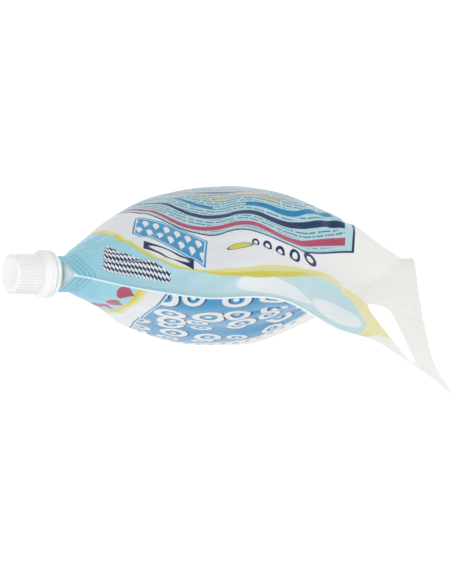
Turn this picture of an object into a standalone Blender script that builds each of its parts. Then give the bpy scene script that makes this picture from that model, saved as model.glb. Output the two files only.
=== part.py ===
"""Two-litre stand-up refill pouch for liquid hand soap, with a corner spout, a screw cap and a carry handle."""

import math

import bmesh
import bpy
import numpy as np
from mathutils import Matrix, Vector

# Sizes are in metres. X runs across the bag, +Y is its back and +Z is up. The bag stands on Z = 0.

# The bag's three main sizes. Every station below is a share of them.
BAG_WIDTH = 0.2320  # from the cut corner to the flap's tip
BAG_DEPTH = 0.1026  # of the filled belly, front to back
BAG_HEIGHT = 0.2484
BAG = np.array((BAG_WIDTH, BAG_DEPTH, BAG_HEIGHT))

# The film bag. Its middle sheet is a curved surface between two side welds and a top weld:
# s runs from -1 at the left weld to 1 at the right weld, t from 0 at the floor to 1 at the top weld.
WELD_HALF = 0.0004  # half the thickness of two films welded flat
TOP_LEFT = (-0.4918, -0.0721, 1.0000)
TOP_RIGHT = (0.5086, -0.7173, 0.8889)
LEFT_WELD = (
    (0.00, (-0.4284, 0.0000, 0.0000)),
    (0.30, (-0.4203, -0.0195, 0.2963)),
    (0.60, (-0.4362, -0.0175, 0.5926)),
    (0.87, (-0.4780, -0.0673, 0.8667)),
    (1.00, TOP_LEFT),
)
RIGHT_WELD = (
    (0.00, (0.4284, 0.0000, 0.0000)),
    (0.30, (0.4203, 0.0000, 0.3148)),
    (0.50, (0.4362, 0.0088, 0.5298)),
    (0.62, (0.4483, 0.0088, 0.6630)),
    (0.70, (0.4491, -0.1365, 0.7295)),
    (0.82, (0.4539, -0.3421, 0.8184)),
    (0.92, (0.4664, -0.5478, 0.8853)),
    (1.00, TOP_RIGHT),
)
TOP_WELD = (
    (-1.00, TOP_LEFT),
    (-0.75, (-0.3703, -0.0760, 1.0000)),
    (-0.50, (-0.2440, -0.1355, 1.0000)),
    (-0.17, (-0.0832, -0.1910, 1.0000)),
    (0.25, (0.1228, -0.2173, 0.9964)),
    (0.48, (0.2379, -0.3616, 0.9815)),
    (0.66, (0.3263, -0.4201, 0.9702)),
    (0.86, (0.4254, -0.5614, 0.9332)),
    (1.00, TOP_RIGHT),
)
BOW_START = 0.55  # above this share of t the middle sheet starts to follow the bent top weld
# Half depth of the filled bag at its middle, as a share of its depth, against t.
DEPTH = (
    (0.00, 0.4483),
    (0.11, 0.4844),
    (0.22, 0.5000),
    (0.33, 0.4961),
    (0.44, 0.4708),
    (0.55, 0.4259),
    (0.66, 0.3538),
    (0.77, 0.2515),
    (0.88, 0.1257),
    (0.96, 0.0019),
    (1.00, 0.0000),
)
FRONT_SHARE = 0.955  # the front film bulges a little less than the back
LEFT_REACH = 0.94  # how far the soap reaches towards the left weld
# The soap's reach towards the right: it stops short of the welded corner round the carry handle.
RIGHT_REACH = (
    (0.00, 0.96),
    (0.50, 0.97),
    (0.62, 0.91),
    (0.70, 0.79),
    (0.78, 0.68),
    (0.88, 0.60),
    (1.00, 0.55),
)
LEFT_POWER = 2.5  # exponents of the full left side of a section, its front fuller than its back
LEFT_ROOT = {-1: 0.45, 1: 0.52}
FRONT_LEAN = 0.22  # added to the right side's root on the front film
RIGHT_POWER = 1.7  # and of its leaner right side, whose root grows towards the welded corner
RIGHT_ROOT = (
    (0.00, 0.80),
    (0.50, 0.92),
    (0.66, 1.05),
    (0.80, 1.40),
    (1.00, 1.40),
)
COLUMNS = 36
ROWS = 28
COLUMN_SWELL = 0.35  # how strongly the columns draw together towards the side welds
# The underside: a rim to stand on, a raised groove and the gusset that the soap presses flat.
# Each step is (share of the outline's width, share of its depth, share of the groove's height).
GROOVE = 0.003
UNDERSIDE = ((0.985, 0.93, 0), (0.955, 0.84, 1), (0.93, 0.74, 1), (0.90, 0.66, 0))

# The die-cut handle hole, as an outline seen from above, and the heights that its cutter spans.
HANDLE_HOLE = (
    (0.3112, -0.2242),
    (0.3371, -0.2310),
    (0.3591, -0.2437),
    (0.3707, -0.2690),
    (0.3944, -0.3947),
    (0.4185, -0.5292),
    (0.4134, -0.5361),
    (0.3966, -0.5068),
    (0.3707, -0.4308),
    (0.3431, -0.3538),
    (0.3172, -0.2690),
)
HOLE_SPAN = (0.6844, 1.0185)

# The spout stands square on the cut corner of the bag. Heights below are along its axis, from the film's edge.
SPOUT_FOOT = Vector(BAG * (-0.4241, -0.0673, 0.9332))
SPOUT_RISE = math.radians(37)  # of the axis over the horizontal
FIT = 0.0003  # clearance between pieces that fit together
EDGE = 0.0003  # broken edges of the moulded pieces
BOAT_HALF_LENGTH = 0.0202
BOAT_HALF_WIDTH = 0.0085
BOAT_DEPTH = 0.0083  # of the welded boat below the film's edge
BOAT_TOP = 0.0006
BOAT_BULGE = 1.25  # exponent of the boat's outline: 1 is a diamond
BOAT_POINT = 0.0003  # half thickness at its two ends
BOAT_RIB = 0.0004
BOOT_WALL = 0.0010  # film and gap round the boat
# The film spreads from the boat into the bag: depth below the edge, length and width as shares of the boat's.
BOOT_SPREAD = ((3.3, 0.80, 1.50), (2.2, 0.98, 1.60), (1.17, 1.05, 1.12))

FLANGE_RADIUS = 0.0116
FLANGE_FOOT = 0.0012
FLANGE_TOP = 0.0021
NECK_RADIUS = 0.0079  # at the thread's root
NECK_WALL = 0.0022
BORE_RADIUS = NECK_RADIUS - NECK_WALL
BEAD_DEPTH = 0.0017  # the bead that holds the tamper band back
BEAD_FOOT = 0.0057
BEAD_HEIGHT = 0.0015
THREAD_PITCH = 0.003
THREAD_DEPTH = 0.0009
THREAD_FOOT = 0.0165
THREAD_LENGTH = 0.0060
THREAD_ROW = 0.0005

BAND_FOOT = FLANGE_TOP + 0.0004
BAND_HEIGHT = 0.0023
BAND_TOP = BAND_FOOT + BAND_HEIGHT
SKIRT_RADIUS = 0.0129  # of the cap's skirt and of the band under it
BAND_BORE = NECK_RADIUS + 0.0007
LIP_WALL = 0.0016
CAP_FOOT = BAND_TOP + 0.0004
CAP_HEIGHT = 0.0221
CAP_TOP = CAP_FOOT + CAP_HEIGHT
CAP_END = 0.0018  # thickness of its end
CAP_ROOF = CAP_TOP - CAP_END  # underside of the cap's end
CAP_WALL = 0.0015
CAP_BORE = NECK_RADIUS + THREAD_DEPTH + 0.0004
CAP_RADIUS = CAP_BORE + CAP_WALL
SKIRT_WALL = 0.0015
SKIRT_BORE = SKIRT_RADIUS - SKIRT_WALL
SKIRT_TOP = CAP_FOOT + 0.0034
FLARE_TOP = SKIRT_TOP + 0.0039
SHOULDER = 0.0029  # height of the rounded shoulder
FACE_SHARE = 0.72  # of the cap's radius that the flat end takes
FACE_DIP = 0.0002
GRIP_RIBS = 36
GRIP_DEPTH = 0.0005
GRIP_FOOT = FLARE_TOP - 0.0019
GRIP_TOP = CAP_TOP - 0.0011
LINER_RADIUS = CAP_BORE - 0.0004
LINER_THICK = 0.0008
LINER_TOP = CAP_ROOF - FIT
LINER_FOOT = LINER_TOP - LINER_THICK
NECK_TOP = LINER_FOOT - FIT


def along(stations, place):
    """The value at a place on the smooth curve through (place, value) stations."""
    places = [station[0] for station in stations]
    values = np.array([station[1] for station in stations], float)
    slopes = np.gradient(values, places, axis=0)
    i = int(np.clip(np.searchsorted(places, place) - 1, 0, len(places) - 2))
    step = places[i + 1] - places[i]
    u = min(max((place - places[i]) / step, 0.0), 1.0)
    ends = (2 * u**3 - 3 * u**2 + 1) * values[i] + (3 * u**2 - 2 * u**3) * values[i + 1]
    pulls = (u**3 - 2 * u**2 + u) * slopes[i] + (u**3 - u**2) * slopes[i + 1]
    return ends + pulls * step


def middle(s, t):
    """A point of the bag's middle sheet."""
    share = (s + 1) / 2
    left = along(LEFT_WELD, t)
    right = along(RIGHT_WELD, t)
    bow = along(TOP_WELD, s) - np.array(TOP_LEFT) * (1 - share) - np.array(TOP_RIGHT) * share
    rise = min(max((t - BOW_START) / (1 - BOW_START), 0.0), 1.0)
    return (left + (right - left) * share + bow * rise**1.3) * BAG


def half_depth(s, t, side):
    """How far the soap pushes the front (side -1) or back (side 1) film out from the middle sheet."""
    if s < 0:
        reach = LEFT_REACH
        power = LEFT_POWER
        root = LEFT_ROOT[side]
    else:
        reach = float(along(RIGHT_REACH, t))
        power = RIGHT_POWER
        root = float(along(RIGHT_ROOT, t)) + (FRONT_LEAN if side < 0 else 0)
    full = float(along(DEPTH, t)) * BAG_DEPTH * (FRONT_SHARE if side < 0 else 1)
    return full * (1 - min(abs(s) / reach, 1.0) ** power) ** root


def sheet_normal(s, t):
    """Unit normal of the middle sheet, towards the back of the bag."""
    step = 0.01
    across = middle(min(s + step, 1), t) - middle(max(s - step, -1), t)
    up = middle(s, min(t + step, 1)) - middle(s, max(t - step, 0))
    normal = np.cross(up, across)
    return normal / np.linalg.norm(normal)


def film_point(s, t, side):
    """A point of the front film (side -1) or the back film (side 1)."""
    offset = sheet_normal(s, t) * WELD_HALF + np.array((0, 1, 0)) * half_depth(s, t, side)
    return middle(s, t) + offset * side


def new_object(name, mesh, collection):
    obj = bpy.data.objects.new(name, mesh)
    collection.objects.link(obj)
    return obj


def loft(name, rings, collection):
    """A closed solid through rings of equal length. Each ring runs along its front and returns along its back."""
    bm = bmesh.new()
    rows = [[bm.verts.new(point) for point in ring] for ring in rings]
    count = len(rows[0])
    for low, high in zip(rows, rows[1:]):
        for i in range(count):
            j = (i + 1) % count
            bm.faces.new((low[i], low[j], high[j], high[i]))
    # Each end is closed by a ladder of faces between its front and its back.
    for row in (rows[0], rows[-1]):
        for i in range(count // 2 - 1):
            bm.faces.new((row[i], row[i + 1], row[count - 2 - i], row[count - 1 - i]))
    bmesh.ops.recalc_face_normals(bm, faces=bm.faces)
    if bm.calc_volume(signed=True) < 0:
        bmesh.ops.reverse_faces(bm, faces=bm.faces)
    mesh = bpy.data.meshes.new(name)
    bm.to_mesh(mesh)
    bm.free()
    return new_object(name, mesh, collection)


def bag_rings():
    """Sections of the bag from the pressed gusset, round the rim and up to the top weld."""
    places = np.linspace(-1, 1, COLUMNS + 1)
    # Columns draw together towards the two side welds.
    places = np.sin(places * math.pi / 2) * COLUMN_SWELL + places * (1 - COLUMN_SWELL)
    places[1] = -LEFT_REACH
    places[-2] = LEFT_REACH
    front = [(s, -1) for s in places]
    back = [(s, 1) for s in places[::-1]]
    foot = [film_point(s, 0, side) for s, side in front + back]
    rings = []
    for width, depth, height in reversed(UNDERSIDE):
        lift = GROOVE * height
        rings.append([(x * width, y * depth, lift * (1 - abs(x / foot[0][0]) ** 4)) for x, y, _ in foot])
    for t in np.linspace(0, 1, ROWS + 1):
        rings.append([film_point(s, t, side) for s, side in front + back])
    return rings


def boat_ring(half_length, half_width, height, points=11):
    """The spout boat's outline at one height: pointed at both ends and full in the middle."""
    steps = [-math.cos(math.pi * i / (points - 1)) for i in range(points)]
    half = [(step, half_width * (1 - abs(step) ** BOAT_BULGE) + BOAT_POINT) for step in steps]
    front = [(half_length * step, -y, height) for step, y in half]
    back = [(half_length * step, y, height) for step, y in reversed(half)]
    return front + back


def turned(name, profile, steps, collection, closed=False):
    """A piece turned about its own Z axis, from (radius, height) points that run down its outer side."""
    mesh = bpy.data.meshes.new(name)
    edges = [(i, i + 1) for i in range(len(profile) - 1)]
    if closed:
        edges.append((len(profile) - 1, 0))
    mesh.from_pydata([(radius, 0, height) for radius, height in profile], edges, [])
    obj = new_object(name, mesh, collection)
    screw = obj.modifiers.new("Turn", "SCREW")
    screw.steps = steps
    screw.render_steps = steps
    screw.use_merge_vertices = True
    screw.merge_threshold = 0.00001
    bake(obj)
    return obj


def bake(obj):
    """Replaces the object's mesh by the one its modifiers make."""
    graph = bpy.context.evaluated_depsgraph_get()
    mesh = bpy.data.meshes.new_from_object(obj.evaluated_get(graph))
    obj.modifiers.clear()
    obj.data = mesh


def cut_or_join(obj, other, operation):
    """A Boolean with a helper, whose result is kept in the mesh."""
    boolean = obj.modifiers.new(other.name, "BOOLEAN")
    boolean.operation = operation
    boolean.solver = "EXACT"
    boolean.object = other
    bpy.context.view_layer.update()
    bake(obj)
    other.hide_render = True
    other.display_type = "WIRE"


def reshape(obj, rule):
    """Moves each point of a turned piece to the radius that rule gives for its radius, angle and height."""
    for vertex in obj.data.vertices:
        x, y, z = vertex.co
        radius = math.hypot(x, y)
        if radius < 0.001:
            continue
        scale = rule(radius, math.atan2(y, x), z) / radius
        vertex.co = (x * scale, y * scale, z)


def ridge(angle, height, span, shift):
    """The thread's height at a place, 0 to 1: a flat-topped ridge that winds up once per pitch."""
    if not span[0] < height < span[1]:
        return 0.0
    phase = (height / THREAD_PITCH - angle / (2 * math.pi) + shift) % 1.0
    lead = min(height - span[0], span[1] - height) / THREAD_PITCH * 2
    return min(max((0.225 - abs(phase - 0.5)) / 0.125, 0.0), 1.0) * min(lead, 1.0)


def thread_span(rise=0.0):
    """The heights that a thread runs between. The cap's lies a little above the neck's."""
    return THREAD_FOOT + rise, THREAD_FOOT + THREAD_LENGTH + rise


def neck_rule(radius, angle, height):
    if abs(radius - NECK_RADIUS) > 0.0001:
        return radius
    return radius + THREAD_DEPTH * ridge(angle, height, thread_span(), 0.0)


def cap_rule(radius, angle, height):
    """Grip ribs outside, the nut thread inside, half a pitch away from the neck's."""
    if abs(radius - CAP_BORE) < 0.0001:
        return radius - THREAD_DEPTH * ridge(angle, height, thread_span(FIT), 0.5)
    in_grip = GRIP_FOOT < height < GRIP_TOP and radius > CAP_BORE + CAP_WALL / 2
    between_ribs = round(angle / (2 * math.pi) * 3 * GRIP_RIBS) % 3 == 0
    return radius - GRIP_DEPTH if in_grip and between_ribs else radius


def thread_rows(radius, span):
    count = round((span[1] - span[0]) / THREAD_ROW)
    return [(radius, span[0] + (span[1] - span[0]) * i / count) for i in range(count + 1)]


def material(name, colour, roughness, alpha=1.0):
    mat = bpy.data.materials.new(name)
    mat.use_nodes = True
    shader = mat.node_tree.nodes["Principled BSDF"]
    shader.inputs["Base Color"].default_value = (*colour, 1.0)
    shader.inputs["Roughness"].default_value = roughness
    shader.inputs["Metallic"].default_value = 0.0
    shader.inputs["Alpha"].default_value = alpha
    mat.diffuse_color = (*colour, 1.0)
    return mat


def make_pouch(parts, cutters, axis):
    """The film bag with its soap: one closed solid, cut for the spout and the hand."""
    pouch = loft("pouch", bag_rings(), parts)

    # The film wraps the boat closely, then spreads into the bag.
    boot_rings = [
        boat_ring(BOAT_HALF_LENGTH * length, BOAT_HALF_WIDTH * width, -BOAT_DEPTH * below)
        for below, length, width in BOOT_SPREAD
    ]
    last = BOOT_SPREAD[-1]
    above = BOAT_DEPTH / 2
    boot_rings.append(boat_ring(BOAT_HALF_LENGTH * last[1], BOAT_HALF_WIDTH * last[2], above))
    boot = loft("boot", boot_rings, cutters)
    boot.matrix_world = axis
    cut_or_join(pouch, boot, "UNION")

    # The corner is cut off square to the spout.
    cut = BAG_HEIGHT / 3
    bpy.ops.mesh.primitive_cube_add(size=cut)
    corner = bpy.context.object
    corner.name = "corner_cut"
    corner.matrix_world = axis @ Matrix.Translation((0, 0, cut / 2))
    move_to(corner, cutters)
    cut_or_join(pouch, corner, "DIFFERENCE")

    pocket_rings = [
        boat_ring(BOAT_HALF_LENGTH + FIT, BOAT_HALF_WIDTH + FIT, height)
        for height in (-BOAT_DEPTH - FIT, BOAT_DEPTH / 4)
    ]
    pocket = loft("pocket", pocket_rings, cutters)
    pocket.matrix_world = axis
    cut_or_join(pouch, pocket, "DIFFERENCE")

    # The handle hole is cut straight down through the leaning flap.
    outline = bpy.data.curves.new("handle_hole", "CURVE")
    outline.dimensions = "2D"
    outline.fill_mode = "BOTH"
    outline.extrude = (HOLE_SPAN[1] - HOLE_SPAN[0]) / 2 * BAG_HEIGHT
    spline = outline.splines.new("POLY")
    spline.points.add(len(HANDLE_HOLE) - 1)
    spline.use_cyclic_u = True
    for point, (x, y) in zip(spline.points, HANDLE_HOLE):
        point.co = (x * BAG_WIDTH, y * BAG_DEPTH, 0, 1)
    curve = new_object("handle_curve", outline, cutters)
    curve.location.z = sum(HOLE_SPAN) / 2 * BAG_HEIGHT
    bpy.context.view_layer.update()
    hole = solid_from_curve(curve, "handle_hole", cutters)
    cut_or_join(pouch, hole, "DIFFERENCE")
    return pouch


def solid_from_curve(curve, name, collection):
    """A curve takes no part in a Boolean, so its welded mesh stands in for it."""
    graph = bpy.context.evaluated_depsgraph_get()
    mesh = bpy.data.meshes.new_from_object(curve.evaluated_get(graph))
    bm = bmesh.new()
    bm.from_mesh(mesh)
    bmesh.ops.remove_doubles(bm, verts=bm.verts, dist=0.000001)
    bmesh.ops.recalc_face_normals(bm, faces=bm.faces)
    bm.to_mesh(mesh)
    bm.free()
    obj = new_object(name, mesh, collection)
    obj.matrix_world = curve.matrix_world.copy()
    bpy.data.objects.remove(curve)
    return obj


def make_spout(parts, cutters):
    """Boat, flange and threaded neck moulded in one, with the pouring bore through them."""
    root = -BOAT_DEPTH / 3
    profile = [(0, NECK_TOP), (NECK_RADIUS - EDGE, NECK_TOP), (NECK_RADIUS, NECK_TOP - EDGE)]
    profile += reversed(thread_rows(NECK_RADIUS, thread_span()))
    profile += [
        (NECK_RADIUS, BEAD_FOOT + BEAD_HEIGHT),
        (NECK_RADIUS + BEAD_DEPTH, BEAD_FOOT + BEAD_HEIGHT / 2),
        (NECK_RADIUS + BEAD_DEPTH, BEAD_FOOT + BEAD_HEIGHT / 7),
        (NECK_RADIUS, BEAD_FOOT),
        (NECK_RADIUS, FLANGE_TOP),
        (FLANGE_RADIUS - EDGE, FLANGE_TOP),
        (FLANGE_RADIUS, FLANGE_TOP - EDGE),
        (FLANGE_RADIUS, FLANGE_FOOT + EDGE),
        (FLANGE_RADIUS - EDGE, FLANGE_FOOT),
        (NECK_RADIUS, FLANGE_FOOT),
        (NECK_RADIUS, root),
        (0, root),
    ]
    spout = turned("spout", profile, 60, parts)
    reshape(spout, neck_rule)

    # Weld ribs ring the boat, and the film is sealed on to them.
    rib = BOAT_RIB
    heights = np.linspace(-BOAT_DEPTH, BOAT_TOP, 8)
    inset = (0, 0, rib, 0, rib, 0, 0, 0)
    boat_rings = [boat_ring(BOAT_HALF_LENGTH - i, BOAT_HALF_WIDTH - i, h) for h, i in zip(heights, inset)]
    boat = loft("boat", boat_rings, cutters)
    cut_or_join(spout, boat, "UNION")

    bpy.ops.mesh.primitive_cylinder_add(radius=BORE_RADIUS, depth=NECK_TOP * 3, vertices=40)
    bore = bpy.context.object
    bore.name = "bore"
    move_to(bore, cutters)
    cut_or_join(spout, bore, "DIFFERENCE")
    return spout


def make_band(parts):
    """The tamper band, a ring with a thin lip that the neck's bead holds."""
    lip = BAND_HEIGHT / 4
    profile = [
        (SKIRT_RADIUS - EDGE, BAND_TOP),
        (SKIRT_RADIUS, BAND_TOP - EDGE),
        (SKIRT_RADIUS, BAND_FOOT + lip),
        (SKIRT_RADIUS - lip, BAND_FOOT),
        (BAND_BORE + EDGE, BAND_FOOT),
        (BAND_BORE, BAND_FOOT + lip),
        (BAND_BORE, BAND_TOP - lip * 2),
        (SKIRT_RADIUS - LIP_WALL, BAND_TOP - lip),
        (SKIRT_RADIUS - LIP_WALL, BAND_TOP),
    ]
    return turned("tamper_band", profile, 60, parts, closed=True)


def make_cap(parts):
    """Ribbed cap: a flat end with a rounded shoulder, a flared skirt and a nut thread inside."""
    face = CAP_RADIUS * FACE_SHARE
    # The shoulder is a quarter of an ellipse between the flat end and the wall.
    turns = [math.radians(angle) for angle in (0, 22, 45, 68, 90)]
    wide = CAP_RADIUS - face
    shoulder = [
        (face + wide * math.sin(turn), CAP_TOP - SHOULDER * (1 - math.cos(turn)))
        for turn in turns
    ]
    flare = SKIRT_RADIUS - CAP_RADIUS
    profile = [
        (0, CAP_TOP - FACE_DIP),
        (face - FACE_DIP, CAP_TOP - FACE_DIP),
        *shoulder,
        (CAP_RADIUS, FLARE_TOP),
        (CAP_RADIUS + flare / 4, (FLARE_TOP * 3 + SKIRT_TOP) / 4),
        (SKIRT_RADIUS - flare / 4, (FLARE_TOP + SKIRT_TOP * 3) / 4),
        (SKIRT_RADIUS, SKIRT_TOP),
        (SKIRT_RADIUS, CAP_FOOT + EDGE),
        (SKIRT_RADIUS - EDGE, CAP_FOOT),
        (SKIRT_BORE, CAP_FOOT),
        (SKIRT_BORE, SKIRT_TOP),
        (CAP_BORE, FLARE_TOP - FIT),
    ]
    profile += thread_rows(CAP_BORE, thread_span(FIT))
    profile += [(CAP_BORE, CAP_ROOF), (0, CAP_ROOF)]
    cap = turned("cap", profile, 3 * GRIP_RIBS, parts)
    reshape(cap, cap_rule)
    return cap


def move_to(obj, collection):
    for old in list(obj.users_collection):
        old.objects.unlink(obj)
    collection.objects.link(obj)


def main():
    for obj in list(bpy.data.objects):
        bpy.data.objects.remove(obj)
    parts = bpy.data.collections.new("hand_soap_refill_pack")
    cutters = bpy.data.collections.new("cutters")
    bpy.context.scene.collection.children.link(parts)
    bpy.context.scene.collection.children.link(cutters)

    # The spout's axis leans out over the left weld: its local Z points out of the bag, its local X up the cut.
    spout_axis = new_object("spout_axis", None, parts)
    spout_axis.location = SPOUT_FOOT
    spout_axis.rotation_euler = (0, SPOUT_RISE - math.pi / 2, 0)
    bpy.context.view_layer.update()
    axis = spout_axis.matrix_world.copy()

    pouch = make_pouch(parts, cutters, axis)
    spout = make_spout(parts, cutters)
    band = make_band(parts)
    cap = make_cap(parts)
    liner_profile = [(0, LINER_TOP), (LINER_RADIUS, LINER_TOP), (LINER_RADIUS, LINER_FOOT), (0, LINER_FOOT)]
    liner = turned("cap_liner", liner_profile, 60, parts)
    for piece in (spout, band, cap, liner):
        piece.parent = spout_axis

    pouch.data.materials.append(material("pouch_film", (0.62, 0.80, 0.86), 0.30))
    spout.data.materials.append(material("spout_polyethylene", (0.72, 0.80, 0.78), 0.35))
    white = material("cap_polypropylene", (0.88, 0.88, 0.88), 0.40)
    band.data.materials.append(white)
    cap.data.materials.append(white)
    liner.data.materials.append(material("liner_foam", (0.90, 0.90, 0.88), 0.80))
    for piece in (pouch, spout, band, cap, liner):
        piece.data.shade_smooth()
        piece.data.set_sharp_from_angle(angle=math.radians(35))


main()
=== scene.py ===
# %% [markdown]
# # A stand-up refill pouch for liquid hand soap
# The object is a two-litre bag of laminated plastic film. It stands on a gusset, its top corner is
# cut off for a screw-capped spout, and the opposite corner is a flat flap with a carry handle.
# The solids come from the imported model. This script gives them their looks: it forms the film again
# with wrinkles and weld lines, prints it, moulds a ribbed cap, and lights it all from above.

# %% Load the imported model
import math

import bmesh
import bpy
import numpy as np
from mathutils import Matrix, Vector


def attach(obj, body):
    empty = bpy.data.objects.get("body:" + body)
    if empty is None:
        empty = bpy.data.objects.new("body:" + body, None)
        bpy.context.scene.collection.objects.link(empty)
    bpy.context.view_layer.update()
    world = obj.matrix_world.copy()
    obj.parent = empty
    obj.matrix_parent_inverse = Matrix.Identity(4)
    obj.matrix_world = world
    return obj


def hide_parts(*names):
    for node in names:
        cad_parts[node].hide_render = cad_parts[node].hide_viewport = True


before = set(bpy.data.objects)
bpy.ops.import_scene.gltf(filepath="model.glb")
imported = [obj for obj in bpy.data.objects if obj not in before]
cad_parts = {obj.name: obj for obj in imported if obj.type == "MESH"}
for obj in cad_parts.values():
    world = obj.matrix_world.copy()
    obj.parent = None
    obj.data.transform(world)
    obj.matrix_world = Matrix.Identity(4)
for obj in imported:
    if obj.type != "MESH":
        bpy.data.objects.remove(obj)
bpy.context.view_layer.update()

print("nodes:", sorted(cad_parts))

# %% [markdown]
# ## Small helpers
# Print colours are easiest to read as the hex values that a graphic artist uses, but the shader needs
# linear light, so one function turns the first into the second. Materials are node trees: one
# function adds any node, writes its settings and joins its inputs, so that a tree reads from top to
# bottom like a recipe. The others start an object or a material, turn modifiers into a plain mesh, and
# turn the faces of a closed mesh outwards.

# %% Colours, nodes and meshes
def colour(hex_code):
    """A linear RGBA colour from an sRGB hex code."""
    values = [int(hex_code[i : i + 2], 16) / 255 for i in (1, 3, 5)]
    return (*[v / 12.92 if v <= 0.04045 else ((v + 0.055) / 1.055) ** 2.4 for v in values], 1.0)


def add(tree, kind, inputs=None, **settings):
    """A node with its settings. An input that is a node or a socket is linked, any other is written in."""
    node = tree.nodes.new(kind)
    for name, value in settings.items():
        setattr(node, name, value)
    for key, value in (inputs or {}).items():
        if isinstance(value, bpy.types.Node):
            tree.links.new(value.outputs[0], node.inputs[key])
        elif isinstance(value, bpy.types.NodeSocket):
            tree.links.new(value, node.inputs[key])
        else:
            node.inputs[key].default_value = value
    return node


def bake(obj):
    """Replaces the object's mesh by the one that its modifiers make, and removes them."""
    bpy.context.view_layer.update()
    graph = bpy.context.evaluated_depsgraph_get()
    mesh = bpy.data.meshes.new_from_object(obj.evaluated_get(graph))
    obj.modifiers.clear()
    obj.data = mesh
    return obj


def new_object(name, data):
    obj = bpy.data.objects.new(name, data)
    bpy.context.scene.collection.objects.link(obj)
    return obj


def new_mesh(name, points, faces, edges=()):
    mesh = bpy.data.meshes.new(name)
    mesh.from_pydata(points, edges, faces)
    return mesh


def new_material(name):
    material = bpy.data.materials.new(name)
    material.use_nodes = True
    return material


def face_outwards(mesh):
    """Turns every face of a closed mesh outwards, and returns the volume that it holds."""
    bm = bmesh.new()
    bm.from_mesh(mesh)
    bmesh.ops.recalc_face_normals(bm, faces=bm.faces)
    if bm.calc_volume(signed=True) < 0:
        bmesh.ops.reverse_faces(bm, faces=bm.faces)
    volume = bm.calc_volume(signed=True)
    bm.to_mesh(mesh)
    bm.free()
    return volume


print("white film in linear light:", [round(v, 3) for v in colour("#EDEDEE")])

# %% [markdown]
# ## The camera
# The photograph looks straight down on the standing pouch, so its height is hidden and its thin top
# weld runs across the picture as a bright line. The lens is long, about a metre above the pack.

# %% Camera above the pack
camera_data = bpy.data.cameras.new("camera")
camera_data.sensor_width = 36.0
camera_data.lens = 99.55
camera = new_object("camera", camera_data)
camera.location = (-0.00552, -0.01656, 1.104)
bpy.context.scene.camera = camera
print("camera height above the floor:", camera.location.z)

# %% [markdown]
# ## The bag's form as a rule
# A filled pouch is two films welded along both sides and the top. The middle sheet between them is a
# curved surface: s runs from -1 at the left weld to 1 at the right weld, t from 0 at the floor to 1
# at the top. The soap pushes each film out from that sheet by a half depth that is full in the
# middle and dies out before the welds. A cloth simulation could inflate it too, but the rule holds
# the solids' shape exactly and gives the same bag on every run.

# %% Stations of the welds and the filling
# A station is a place on a curve and its value there. Points are in shares of the bag's three sizes.
BAG_WIDTH = 0.2320
BAG_DEPTH = 0.1026
BAG_HEIGHT = 0.2484
BAG = np.array((BAG_WIDTH, BAG_DEPTH, BAG_HEIGHT))
WELD_HALF = 0.0004
TOP_LEFT = (-0.4918, -0.0721, 1.0000)
TOP_RIGHT = (0.5086, -0.7173, 0.8889)
LEFT_WELD = (
    (0.00, (-0.4284, 0.0000, 0.0000)),
    (0.30, (-0.4203, -0.0195, 0.2963)),
    (0.60, (-0.4362, -0.0175, 0.5926)),
    (0.87, (-0.4780, -0.0673, 0.8667)),
    (1.00, TOP_LEFT),
)
RIGHT_WELD = (
    (0.00, (0.4284, 0.0000, 0.0000)),
    (0.30, (0.4203, 0.0000, 0.3148)),
    (0.50, (0.4362, 0.0088, 0.5298)),
    (0.62, (0.4483, 0.0088, 0.6630)),
    (0.70, (0.4491, -0.1365, 0.7295)),
    (0.82, (0.4539, -0.3421, 0.8184)),
    (0.92, (0.4664, -0.5478, 0.8853)),
    (1.00, TOP_RIGHT),
)
TOP_WELD = (
    (-1.00, TOP_LEFT),
    (-0.75, (-0.3703, -0.0760, 1.0000)),
    (-0.50, (-0.2440, -0.1355, 1.0000)),
    (-0.17, (-0.0832, -0.1910, 1.0000)),
    (0.25, (0.1228, -0.2173, 0.9964)),
    (0.48, (0.2379, -0.3616, 0.9815)),
    (0.66, (0.3263, -0.4201, 0.9702)),
    (0.86, (0.4254, -0.5614, 0.9332)),
    (1.00, TOP_RIGHT),
)
BOW_START, BOW_POWER = 0.55, 1.3
DEPTH = (
    (0.00, 0.4483), (0.11, 0.4844), (0.22, 0.5000), (0.33, 0.4961), (0.44, 0.4708), (0.55, 0.4259),
    (0.66, 0.3538), (0.77, 0.2515), (0.88, 0.1257), (0.96, 0.0019), (1.00, 0.0000),
)
FRONT_SHARE = 0.955
# How far the filling reaches towards each side weld, and the power and the root that shape its end.
RIGHT_REACH = ((0, 0.96), (0.50, 0.97), (0.62, 0.91), (0.70, 0.79), (0.78, 0.68), (0.88, 0.60), (1, 0.55))
RIGHT_ROOT = ((0, 0.80), (0.50, 0.92), (0.66, 1.05), (0.80, 1.40), (1, 1.40))
RIGHT_POWER = 1.7
LEFT_REACH, LEFT_POWER = 0.94, 2.5
LEFT_ROOT = {-1: 0.45, 1: 0.52}
FRONT_LEAN = 0.22
# Rings of the underside: their share of the foot's width and depth, and how far the groove lifts them.
GROOVE = 0.003
UNDERSIDE = ((0.985, 0.93, 0), (0.955, 0.84, 1), (0.93, 0.74, 1), (0.90, 0.66, 0))
print("top weld runs from", (BAG * TOP_LEFT).round(4), "to", (BAG * TOP_RIGHT).round(4))


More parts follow.
